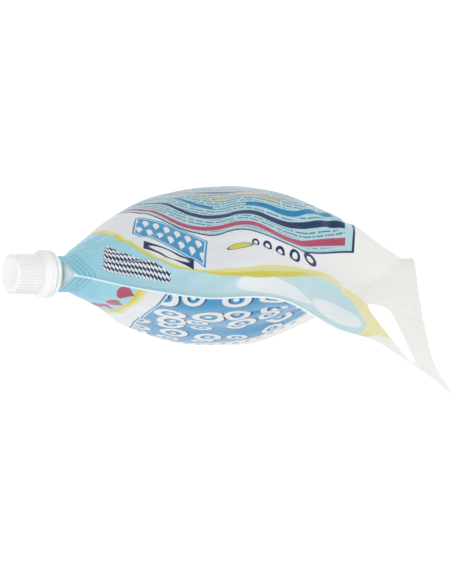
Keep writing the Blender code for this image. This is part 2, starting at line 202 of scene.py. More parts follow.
# %% Smooth curves through stations
def along(stations, places):
    """The values at many places on the smooth curve through (place, value) stations."""
    at = np.array([station[0] for station in stations], float)
    values = np.array([station[1] for station in stations], float)
    slopes = np.gradient(values, at, axis=0)
    places = np.clip(places, at[0], at[-1])
    i = np.clip(np.searchsorted(at, places) - 1, 0, len(at) - 2)
    step = at[i + 1] - at[i]
    u = (places - at[i]) / step
    if values.ndim > 1:
        u = u[..., None]
        step = step[..., None]
    ends = (2 * u**3 - 3 * u**2 + 1) * values[i] + (3 * u**2 - 2 * u**3) * values[i + 1]
    pulls = (u**3 - 2 * u**2 + u) * slopes[i] + (u**3 - u**2) * slopes[i + 1]
    return ends + pulls * step


def middle(s, t):
    """Points of the bag's middle sheet."""
    share = ((s + 1) / 2)[..., None]
    left = along(LEFT_WELD, t)
    right = along(RIGHT_WELD, t)
    bow = along(TOP_WELD, s) - np.array(TOP_LEFT) * (1 - share) - np.array(TOP_RIGHT) * share
    rise = np.clip((t - BOW_START) / (1 - BOW_START), 0, 1)[..., None]
    return (left + (right - left) * share + bow * rise**BOW_POWER) * BAG


def half_depth(s, t, side):
    """How far the soap pushes the front (side -1) or back (side 1) film out."""
    left = (1 - np.clip(np.abs(s) / LEFT_REACH, 0, 1) ** LEFT_POWER) ** LEFT_ROOT[side]
    root = along(RIGHT_ROOT, t) + (FRONT_LEAN if side < 0 else 0)
    right = (1 - np.clip(np.abs(s) / along(RIGHT_REACH, t), 0, 1) ** RIGHT_POWER) ** root
    full = along(DEPTH, t) * BAG_DEPTH * (FRONT_SHARE if side < 0 else 1)
    return full * np.where(s < 0, left, right)


def sheet_normal(s, t):
    """Unit normals of the middle sheet, towards the back of the bag."""
    step = 0.01
    across = middle(np.minimum(s + step, 1), t) - middle(np.maximum(s - step, -1), t)
    up = middle(s, np.minimum(t + step, 1)) - middle(s, np.maximum(t - step, 0))
    normal = np.cross(up, across)
    return normal / np.linalg.norm(normal, axis=-1, keepdims=True)


print("half depth at the belly:", half_depth(np.array([0.0]), np.array([0.25]), 1).round(4))

# %% [markdown]
# ## Film round the spout
# At the cut corner the two films are sealed on to the spout's boat, a moulded wedge with pointed
# ends. The film there lies close to the boat and spreads into the bag below it. Each film takes
# whichever lies further out, the boat's wrap or the soap's bulge, with a soft change between them.

# %% The spout's frame and the wrap round its boat
SPOUT_FOOT = Vector(BAG * (-0.4241, -0.0673, 0.9332))
SPOUT_RISE = math.radians(37)
BOAT_HALF_LENGTH = 0.0202
BOAT_HALF_WIDTH = 0.0085
BOAT_DEPTH = 0.0083
BOAT_BULGE = 1.25
BOAT_TIP = 0.0003
POCKET_GAP = 0.0003
spout_axis = Matrix.Translation(SPOUT_FOOT) @ Matrix.Rotation(SPOUT_RISE - math.pi / 2, 4, "Y")
to_spout = np.array(spout_axis.inverted())
# Height along the spout's axis, half length and half width of the wrapped film there.
WRAP = (
    (-0.0560, 0.0080, 0.0100),
    (-0.0415, 0.0121, 0.0145),
    (-0.0299, 0.0162, 0.0138),
    (-0.0191, 0.0198, 0.0121),
    (-0.0097, 0.0212, 0.0095),
    (0.0040, 0.0212, 0.0095),
)
WRAP_END_SLOPE = 5
SOFTNESS = 0.0007


def wrap_boat(points, side):
    """Moves film points out on to the spout's boat where they would cut through it."""
    local = points @ to_spout[:3, :3].T + to_spout[:3, 3]
    up, height = np.abs(local[..., 0]), local[..., 2]
    heights, lengths, widths = np.array(WRAP).T
    length = np.interp(height, heights, lengths)
    width = np.interp(height, heights, widths)
    bulge = width * (1 - np.minimum(up / length, 1) ** BOAT_BULGE) + BOAT_TIP
    # The wrap ends where the boat's pointed ends do, and where it has spread into the bag.
    bulge = bulge - WRAP_END_SLOPE * (np.maximum(up - length, 0) + np.maximum(heights[0] - height, 0))
    wrapped = side * SPOUT_FOOT.y + bulge
    filled = side * points[..., 1]
    out = (wrapped + filled + np.sqrt((wrapped - filled) ** 2 + SOFTNESS**2)) / 2
    out = np.where(filled - wrapped > 4 * SOFTNESS, filled, out)
    return np.stack([points[..., 0], side * out, points[..., 2]], axis=-1)


print("spout axis:", [round(v, 3) for v in spout_axis.to_3x3() @ Vector((0, 0, 1))])

# %% [markdown]
# ## Folds, puckers and weld lines
# Laminated film doesn't stretch, so a filled bag shows long soft buckles, small puckers that run in
# from each weld, and a few sharp creases from the corners. They are measured on the flat film, in
# metres across from its middle and up from the floor, and pushed along the film's own normal. They
# fade where the two films meet, so that the welds stay flat.

# %% Where a point lies on the flat film
FILM_HALF = 0.118
FILM_HEIGHT = 0.262
COLUMNS = 190
ROWS = 200


def even_places(rule, low, high, count):
    """Places between two ends whose points on a curve lie equal distances apart."""
    fine = np.linspace(low, high, 4001)
    points = rule(fine)
    run = np.concatenate([[0], np.cumsum(np.linalg.norm(np.diff(points, axis=0), axis=-1))])
    return np.interp(np.linspace(0, run[-1], count), run, fine)


def plain_film(s, t, side):
    """The film before its folds."""
    push = side * half_depth(s, t, side)[..., None]
    sheet = middle(s, t) + sheet_normal(s, t) * side * WELD_HALF
    return wrap_boat(sheet + push * np.array((0, 1, 0)), side)


def flat_place(points, s_places):
    """Metres across and up on the flat film for a grid of rows of film points."""
    across = np.linalg.norm(np.diff(points, axis=1), axis=-1)
    across = np.concatenate([np.zeros((len(points), 1)), np.cumsum(across, axis=1)], axis=1)
    centre = np.array([np.interp(0, s_places, row) for row in across])[:, None]
    across -= centre
    across = np.where(across < 0, across / -across[:, :1], across / across[:, -1:]) * FILM_HALF
    mid = np.argmin(np.abs(s_places))
    up = np.linalg.norm(np.diff(points[:, mid], axis=0), axis=-1)
    up = np.concatenate([[0], np.cumsum(up)])
    up = np.broadcast_to((up / up[-1] * FILM_HEIGHT)[:, None], across.shape)
    return across, up


columns = even_places(lambda s: plain_film(s, np.full(s.shape, 0.30), 1), -1, 1, COLUMNS)
rows = even_places(lambda t: plain_film(np.zeros(t.shape), t, 1), 0, 1, ROWS)
print("film grid:", len(columns), "columns and", len(rows), "rows on each side")

# %% Creases
# side, from (across, up), to (across, up), depth, half width: each starts sharp and dies out.
CREASES = (
    (1, (-0.092, 0.216), (-0.030, 0.196), 0.0016, 0.0030),
    (1, (-0.083, 0.205), (-0.050, 0.160), 0.0011, 0.0034),
    (1, (-0.070, 0.232), (-0.010, 0.224), 0.0014, 0.0026),
    (1, (0.040, 0.206), (-0.012, 0.214), 0.0012, 0.0030),
    (1, (0.062, 0.165), (0.030, 0.120), 0.0012, 0.0042),
    (1, (0.072, 0.150), (0.052, 0.100), 0.0009, 0.0036),
    (1, (-0.100, 0.060), (-0.055, 0.075), 0.0012, 0.0040),
    (1, (0.104, 0.055), (0.060, 0.080), 0.0012, 0.0040),
    (1, (-0.020, 0.250), (0.036, 0.226), 0.0012, 0.0034),
    (1, (-0.048, 0.252), (-0.008, 0.232), 0.0011, 0.0028),
    (1, (0.076, 0.226), (0.044, 0.200), 0.0012, 0.0036),
    (1, (0.030, 0.250), (0.062, 0.222), 0.0010, 0.0036),
    (1, (0.060, 0.214), (0.018, 0.206), 0.0010, 0.0030),
    (-1, (-0.090, 0.214), (-0.040, 0.180), 0.0015, 0.0030),
    (-1, (-0.080, 0.200), (-0.062, 0.150), 0.0010, 0.0034),
    (-1, (0.050, 0.190), (0.012, 0.150), 0.0014, 0.0038),
    (-1, (0.068, 0.160), (0.045, 0.110), 0.0012, 0.0040),
    (-1, (0.030, 0.222), (-0.020, 0.212), 0.0010, 0.0028),
    (-1, (-0.102, 0.050), (-0.060, 0.072), 0.0012, 0.0040),
    (-1, (0.104, 0.048), (0.058, 0.070), 0.0012, 0.0040),
)


def crease(across, up, start, end, depth, width):
    """A valley with one raised lip along a line on the flat film."""
    start, end = np.array(start), np.array(end)
    length = np.linalg.norm(end - start)
    way = (end - start) / length
    x, y = across - start[0], up - start[1]
    run = (x * way[0] + y * way[1]) / length
    off = x * -way[1] + y * way[0]
    past = np.maximum(np.maximum(-run, run - 1), 0) * length
    fade = np.clip(1 - run, 0, 1) ** 0.7 * np.exp(-((past / 0.004) ** 2))
    valley = np.exp(-((off / width) ** 2))
    lip = np.exp(-(((off - 2.2 * width) / (1.6 * width)) ** 2))
    return depth * fade * (0.7 * lip - valley)


print("creases:", len(CREASES))

# %% Puckers and buckles
SIDE_PUCKER, TOP_PUCKER, BUCKLE = 0.00110, 0.00095, 0.00060
SEAL_DEPTH, SEAL_WIDTH = 0.0007, 0.0016


def relief(across, up, side, filled):
    """How far the folds move the film out, in metres. Each wave's phase wanders, so no two are alike."""
    from_side = FILM_HALF - np.abs(across)
    from_top = FILM_HEIGHT - up
    side_waves = np.sin(up / 0.0034 + 1.6 * np.sin(up * 61 + side) + (across > 0) * 2.0)
    top_waves = np.sin(across / 0.0043 + 1.3 * np.sin(across * 83 + side * 2))
    out = SIDE_PUCKER * side_waves * np.exp(-from_side / 0.014) * (1 - np.exp(-from_side / 0.004))
    out += TOP_PUCKER * top_waves * np.exp(-from_top / 0.026) * (1 - np.exp(-from_top / 0.006))
    out += BUCKLE * np.sin(across * 97 + 2.1 * np.sin(up * 41 + side)) * np.sin(up * 73 + across * 35)
    for at_side, start, end, depth, width in CREASES:
        if at_side == side:
            out = out + crease(across, up, start, end, depth, width)
    # The gusset's curved bottom seal: low in the middle and higher towards both side welds.
    seal = up - 0.007 - 0.034 * np.abs(across / FILM_HALF) ** 3
    out -= SEAL_DEPTH * np.exp(-((seal / SEAL_WIDTH) ** 2))
    return out * np.clip(filled / 0.006, 0, 1) * np.clip(up / 0.010, 0, 1)


print("puckers reach", SIDE_PUCKER, "m out at the sides and", TOP_PUCKER, "m at the top")

# %% The flap's waves, and the two films
FLAP_SWAY, FLAP_CREASE, FLAP_CREASE_AT = 0.0010, 0.0007, 0.812
BOAT_MARGIN = 0.010


def sheet_sway(s, t):
    """The welded flap's own soft waves and its one crease, the same for both films."""
    lift = np.clip((t - 0.60) / 0.3, 0, 1) * np.clip((s - 0.35) / 0.4, 0, 1)
    from_crease = t - FLAP_CREASE_AT + 0.05 * (s - 0.8)
    valley = np.exp(-((from_crease / 0.006) ** 2)) * np.clip((s - 0.74) / 0.05, 0, 1)
    return FLAP_SWAY * lift * np.sin(s * 11 + t * 9) - FLAP_CREASE * valley


def film(side):
    """One film's points, and its places on the flat film."""
    s, t = np.meshgrid(columns, rows)
    points = plain_film(s, t, side)
    across, up = flat_place(points, columns)
    normals = np.cross(np.gradient(points, axis=1), np.gradient(points, axis=0)) * -side
    normals /= np.maximum(np.linalg.norm(normals, axis=-1, keepdims=True), 1e-12)
    out = relief(across, up, side, half_depth(s, t, side))
    near_cut = (points @ to_spout[:3, :3].T + to_spout[:3, 3])[..., 2]
    out = out * np.clip((-BOAT_MARGIN - near_cut) / BOAT_MARGIN, 0, 1)
    points = points + normals * out[..., None]
    points = points + sheet_normal(s, t) * sheet_sway(s, t)[..., None]
    return points, across, up


front_film, back_film = film(-1), film(1)
for name, (points, _, _) in (("front", front_film), ("back", back_film)):
    print(name, "film spans", points.min((0, 1)).round(4), "to", points.max((0, 1)).round(4))

# %% [markdown]
# ## The film as one closed mesh
# The front film runs left to right and the back film returns, which gives closed rings that are
# stacked from the gusset to the top weld. The welds' cut edges are narrow faces of their own, because
# a laminate shows white where it is cut. Booleans then cut the corner, the boat's pocket and the
# handle hole, as a die does in the factory. A UV map in metres keeps each point's place on the film.

# %% Rings of film
FRONT, BACK, PLAIN, EDGE = range(4)
FILM_NAMES = ("printed_film_front", "printed_film_back", "plain_film", "cut_laminate")
film_materials = [new_material(name) for name in FILM_NAMES]
UNDERSIDE_STEP = 0.004  # between two rings of the underside, on the flat film

rings, across, up = (
    list(np.concatenate([front, back[:, ::-1]], axis=1)) for front, back in zip(front_film, back_film)
)
foot = rings[0]
for width, depth, height in UNDERSIDE:
    lift = GROOVE * height * (1 - np.abs(foot[:, 0] / foot[0, 0]) ** 4)
    rings.insert(0, np.column_stack([foot[:, 0] * width, foot[:, 1] * depth, lift]))
    across.insert(0, across[0])
    up.insert(0, up[0] - UNDERSIDE_STEP)
count = 2 * COLUMNS
faces = []
slots = []
for ring in range(len(rings) - 1):
    for i in range(count):
        j = (i + 1) % count
        faces.append((ring * count + i, ring * count + j, (ring + 1) * count + j, (ring + 1) * count + i))
        side = FRONT if i < COLUMNS - 1 else BACK
        side = EDGE if i in (COLUMNS - 1, count - 1) else side
        slots.append(PLAIN if ring < len(UNDERSIDE) else side)
for ring, slot in ((0, PLAIN), (len(rings) - 1, EDGE)):
    for i in range(COLUMNS - 1):
        a, b = ring * count + i, ring * count + count - 2 - i
        faces.append((a, a + 1, b, b + 1))
        slots.append(slot)
film_mesh = new_mesh("pouch_film", np.concatenate(rings).tolist(), faces)
film_mesh.polygons.foreach_set("material_index", slots)
flat = np.column_stack([np.concatenate(across), np.concatenate(up)])
corners = np.empty(len(film_mesh.loops), np.int32)
film_mesh.loops.foreach_get("vertex_index", corners)
film_mesh.uv_layers.new(name="film").data.foreach_set("uv", flat[corners].ravel())
print("film holds", round(face_outwards(film_mesh) * 1000, 2), "litres")
for material in film_materials:
    film_mesh.materials.append(material)
pouch_film = new_object("pouch_film", film_mesh)


# %% Prisms and outlines for cutting
def prism(name, rings):
    """A closed solid between two outlines of equal length, in the cut edge's material."""
    low, high = rings
    count = len(low)
    faces = [(i, (i + 1) % count, count + (i + 1) % count, count + i) for i in range(count)]
    faces += [tuple(reversed(range(count))), tuple(range(count, 2 * count))]
    mesh = new_mesh(name, [*low, *high], faces)
    face_outwards(mesh)
    mesh.materials.append(film_materials[EDGE])
    return new_object(name, mesh)


def boat_outline(half_length, half_width, height, points=41):
    steps = -np.cos(np.linspace(0, math.pi, points))
    half = half_width * (1 - np.abs(steps) ** BOAT_BULGE) + BOAT_TIP
    x = half_length * np.concatenate([steps, steps[::-1]])
    y = np.concatenate([-half, half[::-1]])
    return [spout_axis @ Vector((a, b, height)) for a, b in zip(x, y)]


def square(half, height):
    corners = ((-half, -half), (half, -half), (half, half), (-half, half))
    return [spout_axis @ Vector((x, y, height)) for x, y in corners]


print("points round the boat:", len(boat_outline(BOAT_HALF_LENGTH, BOAT_HALF_WIDTH, 0)))

# %% The handle hole's outline
# Places in shares of the bag's width and depth, and the span of heights that the hole is cut through.
HANDLE_HOLE = (
    (0.3112, -0.2242), (0.3371, -0.2310), (0.3591, -0.2437), (0.3707, -0.2690), (0.3944, -0.3947),
    (0.4185, -0.5292), (0.4134, -0.5361), (0.3966, -0.5068), (0.3707, -0.4308), (0.3431, -0.3538),
    (0.3172, -0.2690),
)
HOLE_SPAN = (0.6844, 1.0185)


def rounded(outline, shares=(0.12, 0.28, 0.28)):
    """The outline with each corner cut three times, which rounds it and keeps its straight runs."""
    for share in shares:
        ahead = np.roll(outline, -1, axis=0)
        cut = (ahead - outline) * share
        outline = np.stack([outline + cut, ahead - cut], axis=1).reshape(-1, 2)
    return outline


hole = rounded(np.array(HANDLE_HOLE) * BAG[:2])
print("points round the handle hole:", len(hole))

# %% Cut the corner, the boat's pocket and the handle hole
pocket = [
    boat_outline(BOAT_HALF_LENGTH + POCKET_GAP, BOAT_HALF_WIDTH + POCKET_GAP, height)
    for height in (-BOAT_DEPTH - POCKET_GAP, 0.002)
]
cutters = [
    prism("corner_cut", [square(0.04, 0.0), square(0.04, 0.08)]),
    prism("boat_pocket", pocket),
    prism("handle_hole", [[(x, y, share * BAG_HEIGHT) for x, y in hole] for share in HOLE_SPAN]),
]
for cutter in cutters:
    boolean = pouch_film.modifiers.new(cutter.name, "BOOLEAN")
    boolean.operation = "DIFFERENCE"
    boolean.solver = "EXACT"
    boolean.material_mode = "TRANSFER"
    boolean.object = cutter
    bake(pouch_film)
    bpy.data.objects.remove(cutter)
    print("cut", len(pouch_film.data.polygons), "faces left")
pouch_film.data.shade_smooth()
pouch_film.data.set_sharp_from_angle(angle=math.radians(40))
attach(pouch_film, "pack")
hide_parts("pouch")

# %% [markdown]
# ## The print
# The pouch is printed on the inside of its clear outer film, in flat fields of ink under the gloss. A
# painted texture would do it, but nodes keep every edge sharp at any size: a field is the part of the
# film where a number lies between two limits, and a layer of ink covers what is under it. Places are
# read from the UV map, in metres across from the middle and up from the floor. All motifs are plain
# ones: waves, rules, checks, ovals, soap drops and bubbles.

# %% Fields and layers of ink
OPEN = 9.0
INK_SPREAD = 0.00015


def between(tree, value, low, high, edge=INK_SPREAD):
    """1 where the value lies between two limits, fading over the width that ink spreads."""
    above = add(
        tree, "ShaderNodeMapRange", {"Value": value, "From Min": low - edge, "From Max": low + edge}
    )
    below = add(
        tree, "ShaderNodeMapRange", {"Value": value, "From Min": high + edge, "From Max": high - edge}
    )
    return add(tree, "ShaderNodeMath", {0: above, 1: below}, operation="MINIMUM")


def all_of(tree, *fields):
    """The area that lies in every one of the fields."""
    common = fields[0]
    for field in fields[1:]:
        common = add(tree, "ShaderNodeMath", {0: common, 1: field}, operation="MINIMUM")
    return common


def patch(tree, *limits):
    """The area where each number lies between its own two limits. OPEN is past every edge of the film."""
    return all_of(tree, *(between(tree, *limit) for limit in limits))


def ink(tree, under, field, tint):
    """A layer of ink over what is under it. Mix has its colours at inputs 6 and 7 and at output 2."""
    layer = add(tree, "ShaderNodeMix", {0: field, 6: under, 7: tint}, data_type="RGBA")
    return layer.outputs[2]


def fade(tree, place, low, high, first, last):
    """A tint that changes evenly from one colour to another between two places."""
    share = add(tree, "ShaderNodeMapRange", {"Value": place, "From Min": low, "From Max": high})
    blend = add(tree, "ShaderNodeMix", {0: share, 6: colour(first), 7: colour(last)}, data_type="RGBA")
    return blend.outputs[2]


print("the edge of a field fades over", 2 * INK_SPREAD, "m")


# %% Waves
def set_curve(node, points):
    """Puts points, each from 0 to 1, on a Float Curve node, which starts with two."""
    curve = node.mapping.curves[0]
    while len(curve.points) < len(points):
        curve.points.new(0.5, 0.5)
    for point, place in zip(curve.points, points):
        point.location = place
    node.mapping.update()


def off_wave(tree, value, place, points):
    """How far the value lies above a smooth wave through (place, value) points."""
    places, heights = zip(*points)
    low, high = min(heights), max(heights)
    share = add(tree, "ShaderNodeMapRange", {"Value": place, "From Min": places[0], "From Max": places[-1]})
    line = add(tree, "ShaderNodeFloatCurve", {"Value": share})
    run, rise = places[-1] - places[0], high - low
    set_curve(line, [((at - places[0]) / run, (height - low) / rise) for at, height in points])
    wave = add(tree, "ShaderNodeMapRange", {"Value": line, "To Min": low, "To Max": high})
    return add(tree, "ShaderNodeMath", {0: value, 1: wave}, operation="SUBTRACT")


print("waves run over", 2 * FILM_HALF, "m of film")

# %% Soap drops
# Half width of a drop from its foot to its tip.
DROP = ((0, 0), (0.04, 0.42), (0.16, 0.80), (0.34, 1.0), (0.55, 0.76), (0.78, 0.34), (1, 0))


def drops(tree, across, up, wide, tall, size, start=(0.0, 0.0)):
    """How far a point lies inside a soap drop: 1 is its middle. Each row is set half a step aside."""
    rows_up = add(tree, "ShaderNodeMath", {0: up, 1: start[1]}, operation="SUBTRACT")
    row = add(tree, "ShaderNodeMath", {0: rows_up, 1: tall}, operation="DIVIDE")
    number = add(tree, "ShaderNodeMath", {0: row}, operation="FLOOR")
    aside = add(tree, "ShaderNodeMath", {0: number, 1: wide / 2, 2: across}, operation="MULTIPLY_ADD")
    moved = add(tree, "ShaderNodeMath", {0: aside, 1: start[0]}, operation="SUBTRACT")
    x = add(tree, "ShaderNodeMath", {0: moved, 1: wide / 2, 2: -wide / 2}, operation="WRAP")
    y = add(tree, "ShaderNodeMath", {0: rows_up, 1: tall, 2: 0.0}, operation="WRAP")
    share = add(tree, "ShaderNodeMapRange", {"Value": y, "From Min": 0.08 * tall, "From Max": 0.92 * tall})
    shape = add(tree, "ShaderNodeFloatCurve", {"Value": share})
    set_curve(shape, DROP)
    half = add(tree, "ShaderNodeMath", {0: shape, 1: wide / 2 * size}, operation="MULTIPLY")
    beside = add(tree, "ShaderNodeMath", {0: x}, operation="ABSOLUTE")
    inside = add(tree, "ShaderNodeMath", {0: half, 1: beside}, operation="SUBTRACT")
    return add(tree, "ShaderNodeMath", {0: inside, 1: wide / 2 * size}, operation="DIVIDE")


print("points in a drop's outline:", len(DROP))


# %% Soap bubbles
def bubbles(tree, across, up, wide, tall):
    """Rings and dots like soap bubbles, one in each cell of a loose pattern."""
    flat = add(tree, "ShaderNodeCombineXYZ", {"X": across, "Y": up})
    place = add(tree, "ShaderNodeVectorMath", {0: flat, 1: (wide, tall, 1)}, operation="DIVIDE")
    cells = add(
        tree,
        "ShaderNodeTexVoronoi",
        {"Vector": place, "Scale": 1.0, "Randomness": 0.42},
        voronoi_dimensions="2D",
    )
    kind = add(tree, "ShaderNodeSeparateColor", {"Color": cells.outputs["Color"]})
    radius = add(tree, "ShaderNodeMapRange", {"Value": kind, "To Min": 0.30, "To Max": 0.47})
    share = add(tree, "ShaderNodeMath", {0: cells.outputs["Distance"], 1: radius}, operation="DIVIDE")
    ring = between(tree, share, 0.55, 1.0, 0.04)
    shine = between(tree, share, -1, 0.22, 0.04)
    return add(tree, "ShaderNodeMath", {0: ring, 1: shine}, operation="MAXIMUM")


print("helpers for the print are ready")

# %% Colours of the inks
SKY_DEEP, SKY, SKY_PALE = "#90D2E6", "#A6D8E6", "#CAE4E8"
WHITE_COOL, WHITE_WARM = "#ECECED", "#F8F6EF"
YELLOW, YELLOW_PALE, YELLOW_SOFT = "#D8CE3C", "#E6DE94", "#F2E8B0"
BLUE, NAVY, RED, TEAL, ORANGE = "#3E95C6", "#161B50", "#B83E5C", "#1C80B0", "#DDA04E"
BOX_BLUE, RULE, CLOUD, DOT = "#B8DAE1", "#557A90", "#EFF4F5", "#8B8DA8"
print("white film from", WHITE_COOL, "to", WHITE_WARM)


# %% [markdown]
# ## Gloss, welds and small wrinkles
# The laminate is polyester over polyethylene, a clear gloss over soft white film. It reflects the
# lamps in broad soft patches. Three reliefs are too fine for the mesh and are left to bump: tiny
# wrinkles that run along the film, the crimp lines of the top and side welds, and the ribs that the
# film takes from the boat where it is sealed on. The ribs also get a painted shade: darker bands
# mixed into the ink.

# %% Bands of the boat's ribs
BOAT_RIB_PITCH = 0.0034
BOAT_SEAL = 0.0135
axis_way = spout_axis.to_3x3() @ Vector((0, 0, 1))


def boat_bands(tree, place):
    """Bands that run round the boat, and the strip of film that is sealed on to it."""
    along_axis = add(
        tree, "ShaderNodeVectorMath", {0: place.outputs["Object"], 1: axis_way}, operation="DOT_PRODUCT"
    )
    depth = add(
        tree,
        "ShaderNodeMath",
        {0: along_axis.outputs["Value"], 1: SPOUT_FOOT.dot(axis_way)},
        operation="SUBTRACT",
    )
    turns = add(tree, "ShaderNodeMath", {0: depth, 1: 2 * math.pi / BOAT_RIB_PITCH}, operation="MULTIPLY")
    ribs = add(tree, "ShaderNodeMath", {0: turns}, operation="SINE")
    sealed = between(tree, depth, -BOAT_SEAL, 0.01, 0.0010)
    return add(tree, "ShaderNodeMath", {0: ribs, 1: sealed}, operation="MULTIPLY")


print("the boat shows", round(BOAT_SEAL / BOAT_RIB_PITCH), "bands")

# %% The laminate's finish
# Real sizes: a crimp line is as fine as the picture can show, a small wrinkle is about 14 mm long and
# 5 mm wide, the ink varies in clouds of some 4 cm, and a cut has a grain of a quarter of a millimetre.
CRIMP_PITCH = 0.0016
WELD_WIDTH = 0.0065
WRINKLE_LENGTH, WRINKLE_WIDTH = 0.0143, 0.00526
INK_CLOUD = 0.0417
CUT_GRAIN = 0.00027


def laminate(material, print_of):
    """Glossy printed film: the ink that print_of lays down, under gloss with welds and small wrinkles."""
    tree = material.node_tree
    shader = tree.nodes["Principled BSDF"]
    place = add(tree, "ShaderNodeTexCoord")
    flat = add(tree, "ShaderNodeSeparateXYZ", {"Vector": place.outputs["UV"]})
    across, up = flat.outputs["X"], flat.outputs["Y"]
    bands = boat_bands(tree, place)
    tint = print_of(tree, across, up)
    # Ink is a little uneven, and a painted shade darkens it where the film lies in a groove of the boat.
    clouds = add(
        tree,
        "ShaderNodeTexNoise",
        {"Vector": place.outputs["Object"], "Scale": 1 / INK_CLOUD, "Detail": 4.0},
    )
    uneven = add(
        tree, "ShaderNodeMapRange", {"Value": clouds.outputs["Fac"], "To Min": 1.02, "To Max": 0.96}
    )
    tint = add(tree, "ShaderNodeHueSaturation", {"Color": tint, "Value": uneven})
    painted_rib_shade = add(
        tree, "ShaderNodeMapRange", {"Value": bands, "From Min": -0.2, "From Max": 1.0, "To Max": 0.5}
    )
    # Painted shade: the ink goes up to half way to a darker blue over the boat's rib bands.
    tint = ink(tree, tint.outputs[0], painted_rib_shade, colour("#5FA6C4"))
    from_side = add(tree, "ShaderNodeMath", {0: across}, operation="ABSOLUTE")
    side_weld = between(tree, from_side, FILM_HALF - WELD_WIDTH, OPEN, 0.0004)
    top_weld = between(tree, up, FILM_HEIGHT - WELD_WIDTH, OPEN, 0.0004)
    weld = add(tree, "ShaderNodeMath", {0: side_weld, 1: top_weld}, operation="MAXIMUM")
    lines = add(tree, "ShaderNodeMath", {0: up, 1: across}, operation="ADD")
    crimp = add(tree, "ShaderNodeMath", {0: lines, 1: 2 * math.pi / CRIMP_PITCH}, operation="MULTIPLY")
    crimp = add(tree, "ShaderNodeMath", {0: crimp}, operation="SINE")
    crimp = add(tree, "ShaderNodeMath", {0: crimp, 1: weld}, operation="MULTIPLY")
    per_metre = (1 / WRINKLE_LENGTH, 1 / WRINKLE_WIDTH, 1.0)
    stretched = add(
        tree,
        "ShaderNodeMapping",
        {"Vector": place.outputs["UV"], "Scale": per_metre, "Rotation": (0, 0, 0.25)},
    )
    wrinkles = add(
        tree,
        "ShaderNodeTexNoise",
        {"Vector": stretched, "Scale": 1.0, "Detail": 5.0, "Roughness": 0.55, "Distortion": 0.6},
    )
    small = add(
        tree, "ShaderNodeBump", {"Height": wrinkles.outputs["Fac"], "Strength": 0.35, "Distance": 0.0014}
    )
    pressed = add(
        tree, "ShaderNodeBump", {"Height": crimp, "Strength": 0.35, "Distance": 0.00012, "Normal": small}
    )
    ribbed = add(
        tree, "ShaderNodeBump", {"Height": bands, "Strength": 0.7, "Distance": 0.0004, "Normal": pressed}
    )
    rough = add(
        tree,
        "ShaderNodeMapRange",
        {"Value": clouds.outputs["Fac"], "From Min": 0.3, "From Max": 0.7, "To Min": 0.24, "To Max": 0.32},
    )
    tree.links.new(tint, shader.inputs["Base Color"])
    tree.links.new(rough.outputs[0], shader.inputs["Roughness"])
    tree.links.new(ribbed.outputs[0], shader.inputs["Normal"])
    shader.inputs["IOR"].default_value = 1.52
    shader.inputs["Specular IOR Level"].default_value = 0.1
    print(material.name, "has", len(tree.nodes), "nodes")


# %% The blue panel on the back
# A wave is a row of (across, up) points, in metres on the flat film.
PANEL_FOOT = ((-0.118, 0.126), (-0.059, 0.174), (-0.014, 0.210), (0.118, 0.310))


def panel_print(tree, across, up, tint):
    """A slanted blue panel with white drops and a fine white line inside its edge."""
    above_panel = off_wave(tree, up, across, PANEL_FOOT)
    panel = patch(tree, (across, -0.0590, -0.0135), (above_panel, 0.0, 0.0255))
    tint = ink(tree, tint, panel, colour(BLUE))
    line = patch(tree, (across, -0.0578, -0.0147), (above_panel, 0.0012, 0.0243))
    inner = patch(tree, (across, -0.0572, -0.0153), (above_panel, 0.0019, 0.0236))
    frame_line = add(tree, "ShaderNodeMath", {0: line, 1: inner}, operation="SUBTRACT")
    tint = ink(tree, tint, frame_line, colour(WHITE_COOL))
    white_drops = drops(tree, across, above_panel, 0.0066, 0.0098, 0.62, (0.001, 0.0030))
    white_drops = all_of(tree, inner, between(tree, white_drops, 0.0, OPEN, 0.02))
    return ink(tree, tint, white_drops, colour(WHITE_COOL))


rise = PANEL_FOOT[-1][1] - PANEL_FOOT[0][1]
print("the panel's foot rises by", round(rise, 3), "m over the film's width")

# %% The box and its stripes
# The top of the box, and the middle of each stripe in it.
BOX_WAVE = (
    (-0.118, 0.098), (-0.080, 0.144), (-0.064, 0.161), (-0.055, 0.1705), (-0.046, 0.181),
    (-0.037, 0.191), (-0.027, 0.199), (-0.018, 0.203), (-0.009, 0.205), (-0.001, 0.2025),
    (0.008, 0.2005), (0.018, 0.201), (0.029, 0.201), (0.036, 0.1995), (0.043, 0.1965),
    (0.050, 0.1915), (0.058, 0.1855), (0.066, 0.1795), (0.078, 0.172), (0.118, 0.150),
)
RED_WAVE = (
    (-0.118, 0.096), (-0.060, 0.159), (-0.052, 0.1675), (-0.043, 0.1785), (-0.036, 0.1865),
    (-0.028, 0.193), (-0.019, 0.1965), (-0.010, 0.197), (-0.002, 0.1955), (0.005, 0.193),
    (0.012, 0.1915), (0.021, 0.193), (0.029, 0.194), (0.039, 0.191), (0.046, 0.186), (0.052, 0.181),
    (0.062, 0.174), (0.078, 0.1645), (0.118, 0.145),
)
NAVY_WAVE = (
    (-0.118, 0.085), (-0.050, 0.155), (-0.041, 0.164), (-0.032, 0.1745), (-0.023, 0.1815),
    (-0.014, 0.1845), (-0.005, 0.184), (0.003, 0.1805), (0.012, 0.1785), (0.022, 0.180),
    (0.030, 0.1795), (0.038, 0.176), (0.051, 0.167), (0.060, 0.161), (0.069, 0.1575),
    (0.118, 0.140),
)
TEAL_WAVE = (
    (-0.118, 0.075), (-0.045, 0.146), (-0.035, 0.157), (-0.026, 0.1665), (-0.019, 0.171),
    (-0.010, 0.174), (0.000, 0.172), (0.009, 0.169), (0.018, 0.1685), (0.027, 0.1695),
    (0.034, 0.168), (0.046, 0.158), (0.057, 0.1525), (0.118, 0.130),
)
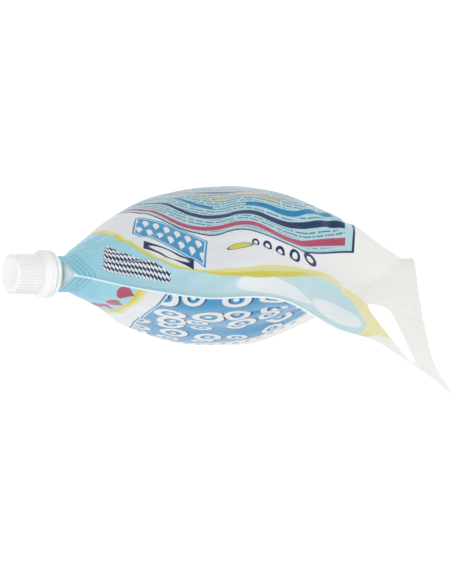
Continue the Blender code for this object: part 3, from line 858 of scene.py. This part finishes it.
ORANGE_WAVE = (
    (-0.118, 0.060), (-0.030, 0.143), (-0.021, 0.153), (-0.014, 0.160), (-0.007, 0.1615),
    (0.000, 0.158), (0.010, 0.157), (0.019, 0.159), (0.031, 0.154), (0.118, 0.120),
)
# Wave, how far below it the stripe runs, its half width at the left and right, its start and its end.
STRIPES = (
    (RED_WAVE, 0.0, 0.0017, 0.0028, -0.080, 0.0700, RED),
    (NAVY_WAVE, 0.0, 0.0016, 0.0030, -0.080, 0.0690, NAVY),
    (TEAL_WAVE, 0.0, 0.0015, 0.0030, -0.080, -0.0130, TEAL),
    (TEAL_WAVE, 0.0, 0.0013, 0.0030, 0.0060, 0.0600, TEAL),
    (ORANGE_WAVE, 0.0, 0.0011, 0.0014, -0.080, 0.0340, ORANGE),
    (NAVY_WAVE, 0.034, 0.0016, 0.0022, -0.080, 0.0690, NAVY),
    (RED_WAVE, 0.062, 0.0016, 0.0022, -0.080, 0.0690, RED),
    (TEAL_WAVE, 0.052, 0.0016, 0.0022, -0.080, 0.0690, TEAL),
)
RULE_PITCH = 0.0031
DASH = 0.00238


def box_print(tree, across, up, tint):
    """A pale blue box in a dark line, with rows of dashes and stripes that widen to the right."""
    above_box = off_wave(tree, up, across, BOX_WAVE)
    box = patch(tree, (across, -0.0835, 0.0765), (above_box, -0.115, 0.0))
    tint = ink(tree, tint, box, colour(NAVY))
    field = patch(tree, (across, -0.0826, 0.0748), (above_box, -0.1141, -0.0014))
    tint = ink(tree, tint, field, colour(BOX_BLUE))
    # Each row of dashes reads its own line of the noise, so no two rows break at the same places.
    steps = add(tree, "ShaderNodeMath", {0: above_box, 1: RULE_PITCH, 2: 0.0}, operation="WRAP")
    margin = patch(tree, (across, -0.079, 0.0690), (above_box, -0.108, -0.0020))
    row = add(tree, "ShaderNodeMath", {0: above_box, 1: RULE_PITCH}, operation="DIVIDE")
    row = add(tree, "ShaderNodeMath", {0: row}, operation="FLOOR")
    far = add(tree, "ShaderNodeMath", {0: across, 1: DASH}, operation="DIVIDE")
    dash_place = add(tree, "ShaderNodeCombineXYZ", {"X": far, "Y": row})
    dashes = add(tree, "ShaderNodeTexNoise", {"Vector": dash_place, "Scale": 1.0, "Detail": 1.0})
    dashed = add(
        tree, "ShaderNodeMapRange", {"Value": dashes.outputs["Fac"], "From Min": 0.40, "From Max": 0.46}
    )
    rules = all_of(tree, margin, between(tree, steps, 0.0009, 0.0021, 0.0003), dashed)
    tint = ink(tree, tint, rules, colour(RULE))
    for wave, below, left_half, right_half, start, stop, stripe in STRIPES:
        off = off_wave(tree, up, across, tuple((at, height - below) for at, height in wave))
        widens = {"From Min": -0.05, "From Max": 0.05, "To Min": left_half, "To Max": right_half}
        half = add(tree, "ShaderNodeMapRange", {"Value": across, **widens})
        share = add(tree, "ShaderNodeMath", {0: off, 1: half}, operation="DIVIDE")
        run = all_of(tree, field, between(tree, across, start, stop))
        # The pale edge beside each stripe interrupts the dashes.
        for reach, soft, tone in ((1.5, 0.2, BOX_BLUE), (1.0, 0.1, stripe)):
            band = all_of(tree, run, between(tree, share, -reach, reach, soft))
            tint = ink(tree, tint, band, colour(tone))
    return tint


print("stripes in the box:", len(STRIPES))


# %% Ovals and a row of bubbles
def oval(tree, x, y, centre, wide, tall, slope=0.0):
    """How far a point lies from an oval's middle: 1 is its edge."""
    beside = add(tree, "ShaderNodeMath", {0: x, 1: centre[0]}, operation="SUBTRACT")
    above = add(tree, "ShaderNodeMath", {0: y, 1: centre[1]}, operation="SUBTRACT")
    level = add(tree, "ShaderNodeMath", {0: beside, 1: -slope, 2: above}, operation="MULTIPLY_ADD")
    flat = add(tree, "ShaderNodeCombineXYZ", {"X": beside, "Y": level})
    place = add(tree, "ShaderNodeVectorMath", {0: flat, 1: (wide, tall, 1)}, operation="DIVIDE")
    return add(tree, "ShaderNodeVectorMath", {0: place}, operation="LENGTH").outputs["Value"]


# Middle and half width of each bubble in the row that grows towards the handle.
BUBBLE_ROW = (
    ((0.014, 0.2095), 0.0022),
    ((0.021, 0.2085), 0.0028),
    ((0.029, 0.2080), 0.0030),
    ((0.038, 0.2050), 0.0034),
    ((0.048, 0.1990), 0.0044),
)


def row_print(tree, across, up, tint):
    """A row of navy bubbles, and one yellow oval with a dark line."""
    for centre, size in BUBBLE_ROW:
        reach = oval(tree, across, up, centre, size, size * 1.25)
        tint = ink(tree, tint, between(tree, reach, 0.50, 1.0, 0.06), colour(NAVY))
    reach = oval(tree, across, up, (0.0055, 0.2165), 0.0072, 0.0033, -0.55)
    tint = ink(tree, tint, between(tree, reach, -1, 1.0, 0.05), colour(NAVY))
    return ink(tree, tint, between(tree, reach, -1, 0.86, 0.05), colour(YELLOW))


print("bubbles in the row:", len(BUBBLE_ROW))

# %% The sky field and its rim
# The lower edge of the sky and of its yellow rim.
SKY_WAVE = (
    (-0.118, 0.118), (-0.092, 0.166), (-0.081, 0.185), (-0.072, 0.199), (-0.058, 0.216),
    (-0.043, 0.231), (-0.034, 0.236), (-0.017, 0.2385), (-0.002, 0.2425), (0.012, 0.2440),
    (0.027, 0.2360), (0.043, 0.2200), (0.055, 0.2095), (0.065, 0.2090), (0.118, 0.2090),
)
RIM_WAVE = (
    (-0.118, 0.112), (-0.092, 0.160), (-0.082, 0.176), (-0.073, 0.189), (-0.064, 0.202),
    (-0.058, 0.211), (-0.046, 0.2245), (-0.034, 0.2330), (-0.020, 0.2365), (-0.005, 0.2375),
    (0.008, 0.2365), (0.017, 0.2315), (0.029, 0.2225), (0.039, 0.2150), (0.050, 0.2070),
    (0.058, 0.2035), (0.066, 0.2030), (0.118, 0.2030),
)
# Where both stop at the handle, as (up, across).
SKY_END = (
    (0.000, 0.066), (0.209, 0.0665), (0.218, 0.0710), (0.230, 0.0735), (0.242, 0.0735),
    (0.2535, 0.068), (0.262, 0.058),
)
RIM_END = (
    (0.000, 0.062), (0.203, 0.0665), (0.209, 0.0745), (0.218, 0.0800), (0.229, 0.0845),
    (0.240, 0.0885), (0.2465, 0.0875), (0.2515, 0.0815), (0.256, 0.073), (0.262, 0.064),
)
# Two bare ovals in the sky: middle, half width, half height and slope.
CLOUDS = (((0.024, 0.2465), 0.021, 0.0078, -0.15), ((0.058, 0.2440), 0.0125, 0.0125, 0.0))


def sky_print(tree, across, up, tint):
    """The sky field and its rim, pale outside and strong inside, both cut off at the handle."""
    above_wave = off_wave(tree, up, across, SKY_WAVE)
    above_rim = off_wave(tree, up, across, RIM_WAVE)
    past_sky = off_wave(tree, across, up, SKY_END)
    past_rim = off_wave(tree, across, up, RIM_END)
    rim = patch(tree, (above_rim, 0.0, OPEN, 0.0007), (past_rim, -OPEN, 0.0, 0.0006))
    tint = ink(tree, tint, rim, fade(tree, across, 0.045, 0.075, YELLOW_PALE, YELLOW_SOFT))
    halfway = add(tree, "ShaderNodeMath", {0: above_wave, 1: above_rim}, operation="ADD")
    half_past = add(tree, "ShaderNodeMath", {0: past_sky, 1: past_rim}, operation="ADD")
    strong = patch(tree, (halfway, 0.0, OPEN, 0.0012), (half_past, -OPEN, 0.0, 0.0012))
    tint = ink(tree, tint, strong, fade(tree, across, 0.040, 0.062, YELLOW, YELLOW_SOFT))
    sky = patch(tree, (above_wave, 0.0, OPEN, 0.0005), (past_sky, -OPEN, 0.0, 0.0005))
    tint = ink(tree, tint, sky, fade(tree, across, -0.095, 0.005, SKY_DEEP, SKY_PALE))
    for bare in CLOUDS:
        reach = oval(tree, across, up, *bare)
        tint = ink(tree, tint, all_of(tree, sky, between(tree, reach, -1, 1, 0.06)), colour(CLOUD))
    return tint


print("points on the sky's edge:", len(SKY_WAVE), "and on its rim's:", len(RIM_WAVE))

# %% Checks and a bar in the sky
CHECK = 0.0023
BLOCK_FOOT = ((-0.118, 0.188), (-0.074, 0.216), (-0.034, 0.241), (0.118, 0.336))
BLOCK_TOP = ((-0.118, 0.243), (-0.075, 0.246), (-0.034, 0.249), (0.118, 0.26))
BAR_FOOT = ((-0.118, 0.1675), (-0.051, 0.2115), (-0.021, 0.2295), (0.118, 0.313))


def badge_print(tree, across, up, tint):
    """Checks in a tapering block, and a navy bar with a white oval."""
    above_box = off_wave(tree, up, across, BOX_WAVE)
    place = add(tree, "ShaderNodeCombineXYZ", {"X": across, "Y": above_box})
    squares = {"Scale": 1 / CHECK, "Color1": colour(NAVY), "Color2": colour(WHITE_COOL)}
    checks = add(tree, "ShaderNodeTexChecker", {"Vector": place, **squares})
    above_foot = off_wave(tree, up, across, BLOCK_FOOT)
    above_top = off_wave(tree, up, across, BLOCK_TOP)
    block = patch(tree, (across, -0.074, -0.034), (above_foot, 0.0, OPEN), (above_top, -OPEN, 0.0))
    tint = ink(tree, tint, block, checks.outputs["Color"])
    above_bar = off_wave(tree, up, across, BAR_FOOT)
    bar = patch(tree, (across, -0.0510, -0.0205), (above_bar, 0.0, 0.0078))
    tint = ink(tree, tint, bar, colour(NAVY))
    reach = oval(tree, across, above_bar, (-0.0355, 0.0039), 0.0120, 0.0026)
    return ink(tree, tint, between(tree, reach, -1, 1, 0.08), colour(WHITE_COOL))


print("checks are", CHECK, "m wide")


# %% The back of the pouch
def back_print(tree, across, up):
    tint = fade(tree, across, 0.0, 0.09, WHITE_COOL, WHITE_WARM)
    for layer in (panel_print, box_print, row_print, sky_print, badge_print):
        tint = layer(tree, across, up, tint)
    return tint


laminate(film_materials[BACK], back_print)

# %% The front of the pouch
# The same sky in the spout's corner, a wide blue panel of white bubbles with navy shadows, and bare
# film. The corner's and the panel's waves are (up, across), and the foot's is (across, up).
CORNER_WAVE = (
    (0.000, -0.112), (0.100, -0.090), (0.145, -0.083), (0.195, -0.072), (0.225, -0.063),
    (0.241, -0.057), (0.262, -0.049),
)
PANEL_WAVE = (
    (0.000, -0.080), (0.080, -0.070), (0.125, -0.0645), (0.151, -0.0625), (0.179, -0.0585),
    (0.221, -0.048), (0.243, -0.040), (0.262, -0.032),
)
FOOT_WAVE = (
    (-0.118, 0.080), (-0.062, 0.092), (-0.021, 0.099), (-0.009, 0.105), (0.007, 0.120),
    (0.017, 0.131), (0.028, 0.138), (0.040, 0.143), (0.060, 0.158), (0.118, 0.200),
)


def front_print(tree, across, up):
    tint = fade(tree, across, 0.0, 0.09, WHITE_COOL, WHITE_WARM)
    from_corner = off_wave(tree, across, up, CORNER_WAVE)
    for reach, soft, tone in ((0.0055, 0.0008, YELLOW_PALE), (0.0028, 0.0006, YELLOW)):
        tint = ink(tree, tint, between(tree, from_corner, -OPEN, reach, soft), colour(tone))
    corner_sky = fade(tree, across, -0.11, -0.05, SKY_DEEP, SKY)
    tint = ink(tree, tint, between(tree, from_corner, -OPEN, 0.0, 0.0005), corner_sky)
    from_panel = off_wave(tree, across, up, PANEL_WAVE)
    above_foot = off_wave(tree, up, across, FOOT_WAVE)
    for edge, foot, tone in ((0.0, 0.0, TEAL), (0.0012, 0.0016, WHITE_COOL), (0.0020, 0.0026, BLUE)):
        field = patch(tree, (from_panel, edge, 0.108 - edge), (above_foot, foot, OPEN))
        tint = ink(tree, tint, field, colour(tone))
    for shift, mark in ((0.0012, NAVY), (0.0, WHITE_COOL)):
        moved = add(tree, "ShaderNodeMath", {0: across, 1: shift}, operation="SUBTRACT")
        rings = bubbles(tree, moved, up, 0.0215, 0.0215 * 1.25)
        tint = ink(tree, tint, all_of(tree, field, rings), colour(mark))
    # A line of small dots under the panel, and a short sloping row of red drops in the spout's corner.
    dots = drops(tree, across, above_foot, 0.0075, 0.0075, 0.62, (0.0, -0.011))
    strip = patch(tree, (from_panel, 0.004, 0.104), (above_foot, -0.011, -0.0035))
    tint = ink(tree, tint, all_of(tree, strip, between(tree, dots, 0.0, OPEN, 0.03)), colour(DOT))
    flat = add(tree, "ShaderNodeCombineXYZ", {"X": across, "Y": up})
    along_row, off_row = (
        add(tree, "ShaderNodeVectorMath", {0: flat, 1: way}, operation="DOT_PRODUCT").outputs["Value"]
        for way in ((0.37, 0.93, 0), (0.93, -0.37, 0))
    )
    red_drops = drops(tree, along_row, off_row, 0.0185, 0.0125, 0.80, (0.150, -0.1530))
    strip = patch(tree, (along_row, 0.1407, 0.2148), (off_row, -0.1530, -0.1405))
    return ink(tree, tint, all_of(tree, strip, between(tree, red_drops, 0.0, OPEN, 0.03)), colour(RED))


laminate(film_materials[FRONT], front_print)


# %% Gusset film and cut edges
EDGE_LEFT, EDGE_RIGHT = "#D3E7EC", "#F0F2F1"


def bare_print(tree, across, up):
    return fade(tree, across, -0.1, 0.1, WHITE_COOL, WHITE_WARM)


laminate(film_materials[PLAIN], bare_print)
edge_tree = film_materials[EDGE].node_tree
edge_shader = edge_tree.nodes["Principled BSDF"]
edge_shader.inputs["Roughness"].default_value = 0.55
edge_place = add(edge_tree, "ShaderNodeTexCoord")
grain_place = edge_place.outputs["Object"]
grain = add(edge_tree, "ShaderNodeTexNoise", {"Vector": grain_place, "Scale": 1 / CUT_GRAIN})
edge_flat = add(edge_tree, "ShaderNodeSeparateXYZ", {"Vector": edge_place.outputs["UV"]})
edge_tint = fade(edge_tree, edge_flat.outputs["X"], -0.06, 0.08, EDGE_LEFT, EDGE_RIGHT)
edge_shade = add(
    edge_tree, "ShaderNodeMapRange", {"Value": grain.outputs["Fac"], "To Min": 1.03, "To Max": 0.94}
)
edge_tint = add(edge_tree, "ShaderNodeHueSaturation", {"Color": edge_tint, "Value": edge_shade})
edge_tree.links.new(edge_tint.outputs[0], edge_shader.inputs["Base Color"])
print("cut edges are", film_materials[EDGE].name)

# %% [markdown]
# ## The screw cap
# The cap is moulded in one piece: a flat end with a rounded shoulder, a straight wall that the
# fingers grip and a flared skirt. Its profile is turned about the spout's axis with the Screw
# modifier, and a Geometry Nodes tree sets the grip ribs round the wall, so their number and size can
# be changed in one place.

# %% Turned pieces about the spout's axis
CAP_RADIUS = 0.0107
GRIP_RIBS = 36
GRIP_DEPTH = 0.0005


def turned(name, profile, steps):
    """A closed piece turned from (radius, height) points, in the spout's own frame."""
    edges = [(i, i + 1) for i in range(len(profile) - 1)]
    if profile[0][0] > 0:
        edges.append((len(profile) - 1, 0))
    points = [(radius, 0, height) for radius, height in profile]
    obj = new_object(name, new_mesh(name, points, [], edges))
    screw = obj.modifiers.new("turn", "SCREW")
    screw.steps = screw.render_steps = steps
    screw.use_merge_vertices = True
    screw.merge_threshold = 0.00001
    bake(obj)
    face_outwards(obj.data)
    return obj


def arc(centre, radius, start, end, points):
    """Points of an arc between two angles in degrees, for the rounded corners of a profile."""
    angles = np.radians(np.linspace(start, end, points))
    return [(centre[0] + radius * math.cos(a), centre[1] + radius * math.sin(a)) for a in angles]


wall = CAP_RADIUS - GRIP_DEPTH  # the straight wall between the ribs
cap_profile = [(0, 0.0271), (0.0072, 0.0271), (0.0075, 0.02725), (0.0078, 0.0273)]
cap_profile += arc((0.0080, 0.0251), 0.0022, 88, 2, 9)
cap_profile += [(wall, 0.0245), (wall, 0.0126), (0.0106, 0.0118), (0.0112, 0.0112), (0.0121, 0.0100)]
cap_profile += arc((0.0123, 0.0089), 0.0006, 40, 2, 4)
cap_profile += [(0.0129, 0.0070), (0.01275, 0.0068), (0.0129, 0.0066), (0.0129, 0.0055), (0.0126, 0.0052)]
cap_profile += [(0.0114, 0.0052), (0.0114, 0.0085), (0.0092, 0.0120), (0.0092, 0.0255), (0, 0.0255)]
screw_cap = turned("screw_cap", cap_profile, 144)
print("cap wall:", len(screw_cap.data.polygons), "faces")

# %% [markdown]
# ## Ribs and bridges that repeat round a ring
# Both the cap's grip ribs and the tamper band's thin bridges are one small block repeated round a
# circle. One node tree does both: it stretches a rounded block, puts it on every point of a circle,
# turns each copy to face outwards and joins the copies to the piece.

# %% A Geometry Nodes tree that sets blocks round a ring
def ring_tree(name):
    tree = bpy.data.node_groups.new(name, "GeometryNodeTree")
    sockets = (
        ("Piece", "NodeSocketGeometry"),
        ("Count", "NodeSocketInt"),
        ("Radius", "NodeSocketFloat"),
        ("Height", "NodeSocketFloat"),
        ("Block", "NodeSocketVector"),
        ("Material", "NodeSocketMaterial"),
    )
    for label, kind in sockets:
        tree.interface.new_socket(label, in_out="INPUT", socket_type=kind)
    tree.interface.new_socket("Geometry", in_out="OUTPUT", socket_type="NodeSocketGeometry")
    given = add(tree, "NodeGroupInput")
    ring = add(
        tree,
        "GeometryNodeMeshCircle",
        {"Vertices": given.outputs["Count"], "Radius": given.outputs["Radius"]},
    )
    offset = add(tree, "ShaderNodeCombineXYZ", {"Z": given.outputs["Height"]})
    placed = add(tree, "GeometryNodeSetPosition", {"Geometry": ring, "Offset": offset})
    centre = add(tree, "GeometryNodeInputPosition")
    flat = add(tree, "ShaderNodeVectorMath", {0: centre, 1: (1, 1, 0)}, operation="MULTIPLY")
    facing = add(tree, "FunctionNodeAlignRotationToVector", {"Vector": flat}, axis="X", pivot_axis="Z")
    block = add(tree, "GeometryNodeMeshCylinder", {"Vertices": 8, "Radius": 0.5, "Depth": 1.0})
    shaped = add(
        tree, "GeometryNodeTransform", {"Geometry": block.outputs["Mesh"], "Scale": given.outputs["Block"]}
    )
    copies = add(
        tree, "GeometryNodeInstanceOnPoints", {"Points": placed, "Instance": shaped, "Rotation": facing}
    )
    joined = add(tree, "GeometryNodeJoinGeometry")
    real = add(tree, "GeometryNodeRealizeInstances", {"Geometry": copies})
    tree.links.new(real.outputs[0], joined.inputs[0])
    tree.links.new(given.outputs["Piece"], joined.inputs[0])
    finish = add(
        tree, "GeometryNodeSetMaterial", {"Geometry": joined, "Material": given.outputs["Material"]}
    )
    out = add(tree, "NodeGroupOutput")
    tree.links.new(finish.outputs[0], out.inputs[0])
    return tree


ribs_round_a_ring = ring_tree("ribs_round_a_ring")
print(ribs_round_a_ring.name, "has", len(ribs_round_a_ring.nodes), "nodes")


# %% The cap's grip ribs
def set_round(obj, tree, values):
    """Runs the ring tree on a piece with its own sizes, then moves it to the spout."""
    modifier = obj.modifiers.new(tree.name, "NODES")
    modifier.node_group = tree
    for item in tree.interface.items_tree:
        if item.in_out == "INPUT" and item.name in values:
            modifier[item.identifier] = values[item.name]
    bake(obj)
    obj.data.transform(spout_axis)
    obj.data.shade_smooth()
    obj.data.set_sharp_from_angle(angle=math.radians(38))
    print(obj.name, "has", len(obj.data.polygons), "faces")


cap_plastic = new_material("polypropylene_moulded_white")
cap_sizes = {
    "Count": GRIP_RIBS,
    "Radius": wall,
    "Height": 0.0190,
    "Block": (0.0011, 0.0010, 0.0148),
    "Material": cap_plastic,
}
set_round(screw_cap, ribs_round_a_ring, cap_sizes)
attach(screw_cap, "cap")
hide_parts("cap")

# %% The tamper band and its bridges
band_profile = [(0.0125, 0.0048), (0.01275, 0.0047), (0.0129, 0.0045), (0.0129, 0.0033), (0.0127, 0.0028)]
band_profile += [(0.0123, 0.0025), (0.0090, 0.0025), (0.0086, 0.0030), (0.0086, 0.0038)]
band_profile += [(0.0113, 0.0044), (0.0113, 0.0048)]
band_ring = turned("tamper_ring", band_profile, 144)
band_sizes = {
    "Count": 16,
    "Radius": 0.0121,
    "Height": 0.00490,
    "Block": (0.0008, 0.0006, 0.0004),
    "Material": cap_plastic,
}
set_round(band_ring, ribs_round_a_ring, band_sizes)
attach(band_ring, "pack")
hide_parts("tamper_band")

# %% [markdown]
# ## Moulded plastics
# The cap is white polypropylene, dense and a little waxy, with the faint unevenness of a quick
# mould. The spout is polyethylene without pigment, so it lets light in and looks pale grey-green
# between the white cap and the blue film. Light that enters both and comes out again is drawn with
# subsurface scattering over a millimetre or two.

# %% Plastic finishes
# The tints cloud over 6 mm. The grain is what the mould's ground steel leaves, about 0.4 mm.
TINT_CLOUD = 0.00625


def moulded(material, tint, shade, roughness, scatter, radius, grain):
    """A moulded plastic: two close tints in soft clouds, and the fine grain of the mould's steel."""
    tree = material.node_tree
    shader = tree.nodes["Principled BSDF"]
    place = add(tree, "ShaderNodeTexCoord")
    clouds = add(
        tree,
        "ShaderNodeTexNoise",
        {"Vector": place.outputs["Object"], "Scale": 1 / TINT_CLOUD, "Detail": 3.0},
    )
    clouded = ink(tree, colour(tint), clouds.outputs["Fac"], colour(shade))
    steel = add(
        tree, "ShaderNodeTexNoise", {"Vector": place.outputs["Object"], "Scale": 1 / grain, "Detail": 2.0}
    )
    rough = add(
        tree,
        "ShaderNodeMapRange",
        {"Value": steel.outputs["Fac"], "To Min": roughness - 0.05, "To Max": roughness + 0.07},
    )
    bump = add(
        tree, "ShaderNodeBump", {"Height": steel.outputs["Fac"], "Strength": 0.12, "Distance": 0.0001}
    )
    tree.links.new(clouded, shader.inputs["Base Color"])
    tree.links.new(rough.outputs[0], shader.inputs["Roughness"])
    tree.links.new(bump.outputs[0], shader.inputs["Normal"])
    shader.inputs["IOR"].default_value = 1.50
    shader.inputs["Subsurface Weight"].default_value = scatter
    shader.inputs["Subsurface Radius"].default_value = (1.0, 0.9, 0.8)
    shader.inputs["Subsurface Scale"].default_value = radius


moulded(cap_plastic, "#F3F3F3", "#EDEEEE", roughness=0.36, scatter=0.25, radius=0.0012, grain=0.000385)
spout_plastic = new_material("polyethylene_natural")
moulded(spout_plastic, "#D2E5E6", "#C8DCDE", roughness=0.32, scatter=0.45, radius=0.0030, grain=0.000455)
liner_foam = new_material("polyethylene_foam")
moulded(liner_foam, "#EDEDE9", "#E2E2DC", roughness=0.75, scatter=0.20, radius=0.0010, grain=0.00111)
for node_name, material in (("spout", spout_plastic), ("cap_liner", liner_foam)):
    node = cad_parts[node_name]
    node.data.materials.clear()
    node.data.materials.append(material)
    print(node_name, "is now", material.name)

# %% [markdown]
# ## Floor, lamps and world
# The pack stands on a plain white floor under soft light from all sides: a broad lamp over the
# camera, two wide panels and an even world. Their sum lights a level surface by about one, so a
# colour renders about as it is written. The camera sees the floor mostly by its own white, and the
# rest keeps the pack's soft shadow.

# %% White floor
floor_corners = [(-3, -3, 0), (3, -3, 0), (3, 3, 0), (-3, 3, 0)]
floor = new_object("floor", new_mesh("floor", floor_corners, [(0, 1, 2, 3)]))
floor.location.z = -0.0002
white_floor = new_material("white_paper")
tree = white_floor.node_tree
paper = tree.nodes["Principled BSDF"]
paper.inputs["Base Color"].default_value = colour("#D8D8D8")
paper.inputs["Roughness"].default_value = 0.9
ray = add(tree, "ShaderNodeLightPath")
seen = ray.outputs["Is Camera Ray"]
for kind in ("Is Glossy Ray", "Is Transmission Ray"):
    seen = add(tree, "ShaderNodeMath", {0: seen, 1: ray.outputs[kind]}, operation="MAXIMUM")
glow = add(tree, "ShaderNodeMath", {0: seen, 1: 0.45}, operation="MULTIPLY")
white = add(tree, "ShaderNodeEmission", {"Color": (1, 1, 1, 1), "Strength": glow})
both = add(tree, "ShaderNodeAddShader", {0: paper, 1: white})
tree.links.new(both.outputs[0], tree.nodes["Material Output"].inputs["Surface"])
floor.data.materials.append(white_floor)
print("the floor has", len(tree.nodes), "nodes")

# %% Lamps and world
LAMPS = (
    ("over_camera", (0.10, 0.25, 1.55), 1.4, 8.0),
    ("left_panel", (-1.20, -0.20, 0.75), 1.0, 5.0),
    ("front_panel", (0.30, -1.30, 0.80), 1.2, 6.0),
    ("right_panel", (1.20, 0.40, 0.75), 1.0, 4.0),
)
for name, place, size, power in LAMPS:
    lamp_data = bpy.data.lights.new(name, "AREA")
    lamp_data.size = size
    lamp_data.energy = power
    lamp = new_object(name, lamp_data)
    lamp.location = place
    aim = Vector((0, -0.01, 0.12)) - Vector(place)
    lamp.rotation_euler = aim.to_track_quat("-Z", "Y").to_euler()
world = bpy.data.worlds.new("even_light")
bpy.context.scene.world = world
world.use_nodes = True
sky = world.node_tree.nodes["Background"]
sky.inputs["Color"].default_value = (1, 1, 1, 1)
# The camera sees near white behind the pack, and only an even light of 0.55 falls on it.
world_ray = add(world.node_tree, "ShaderNodeLightPath")
camera_sees = world_ray.outputs["Is Camera Ray"]
backdrop = add(
    world.node_tree, "ShaderNodeMapRange", {"Value": camera_sees, "To Min": 0.55, "To Max": 0.95}
)
world.node_tree.links.new(backdrop.outputs[0], sky.inputs["Strength"])
bpy.context.scene.view_settings.view_transform = "Standard"
print("lamps:", len(LAMPS))
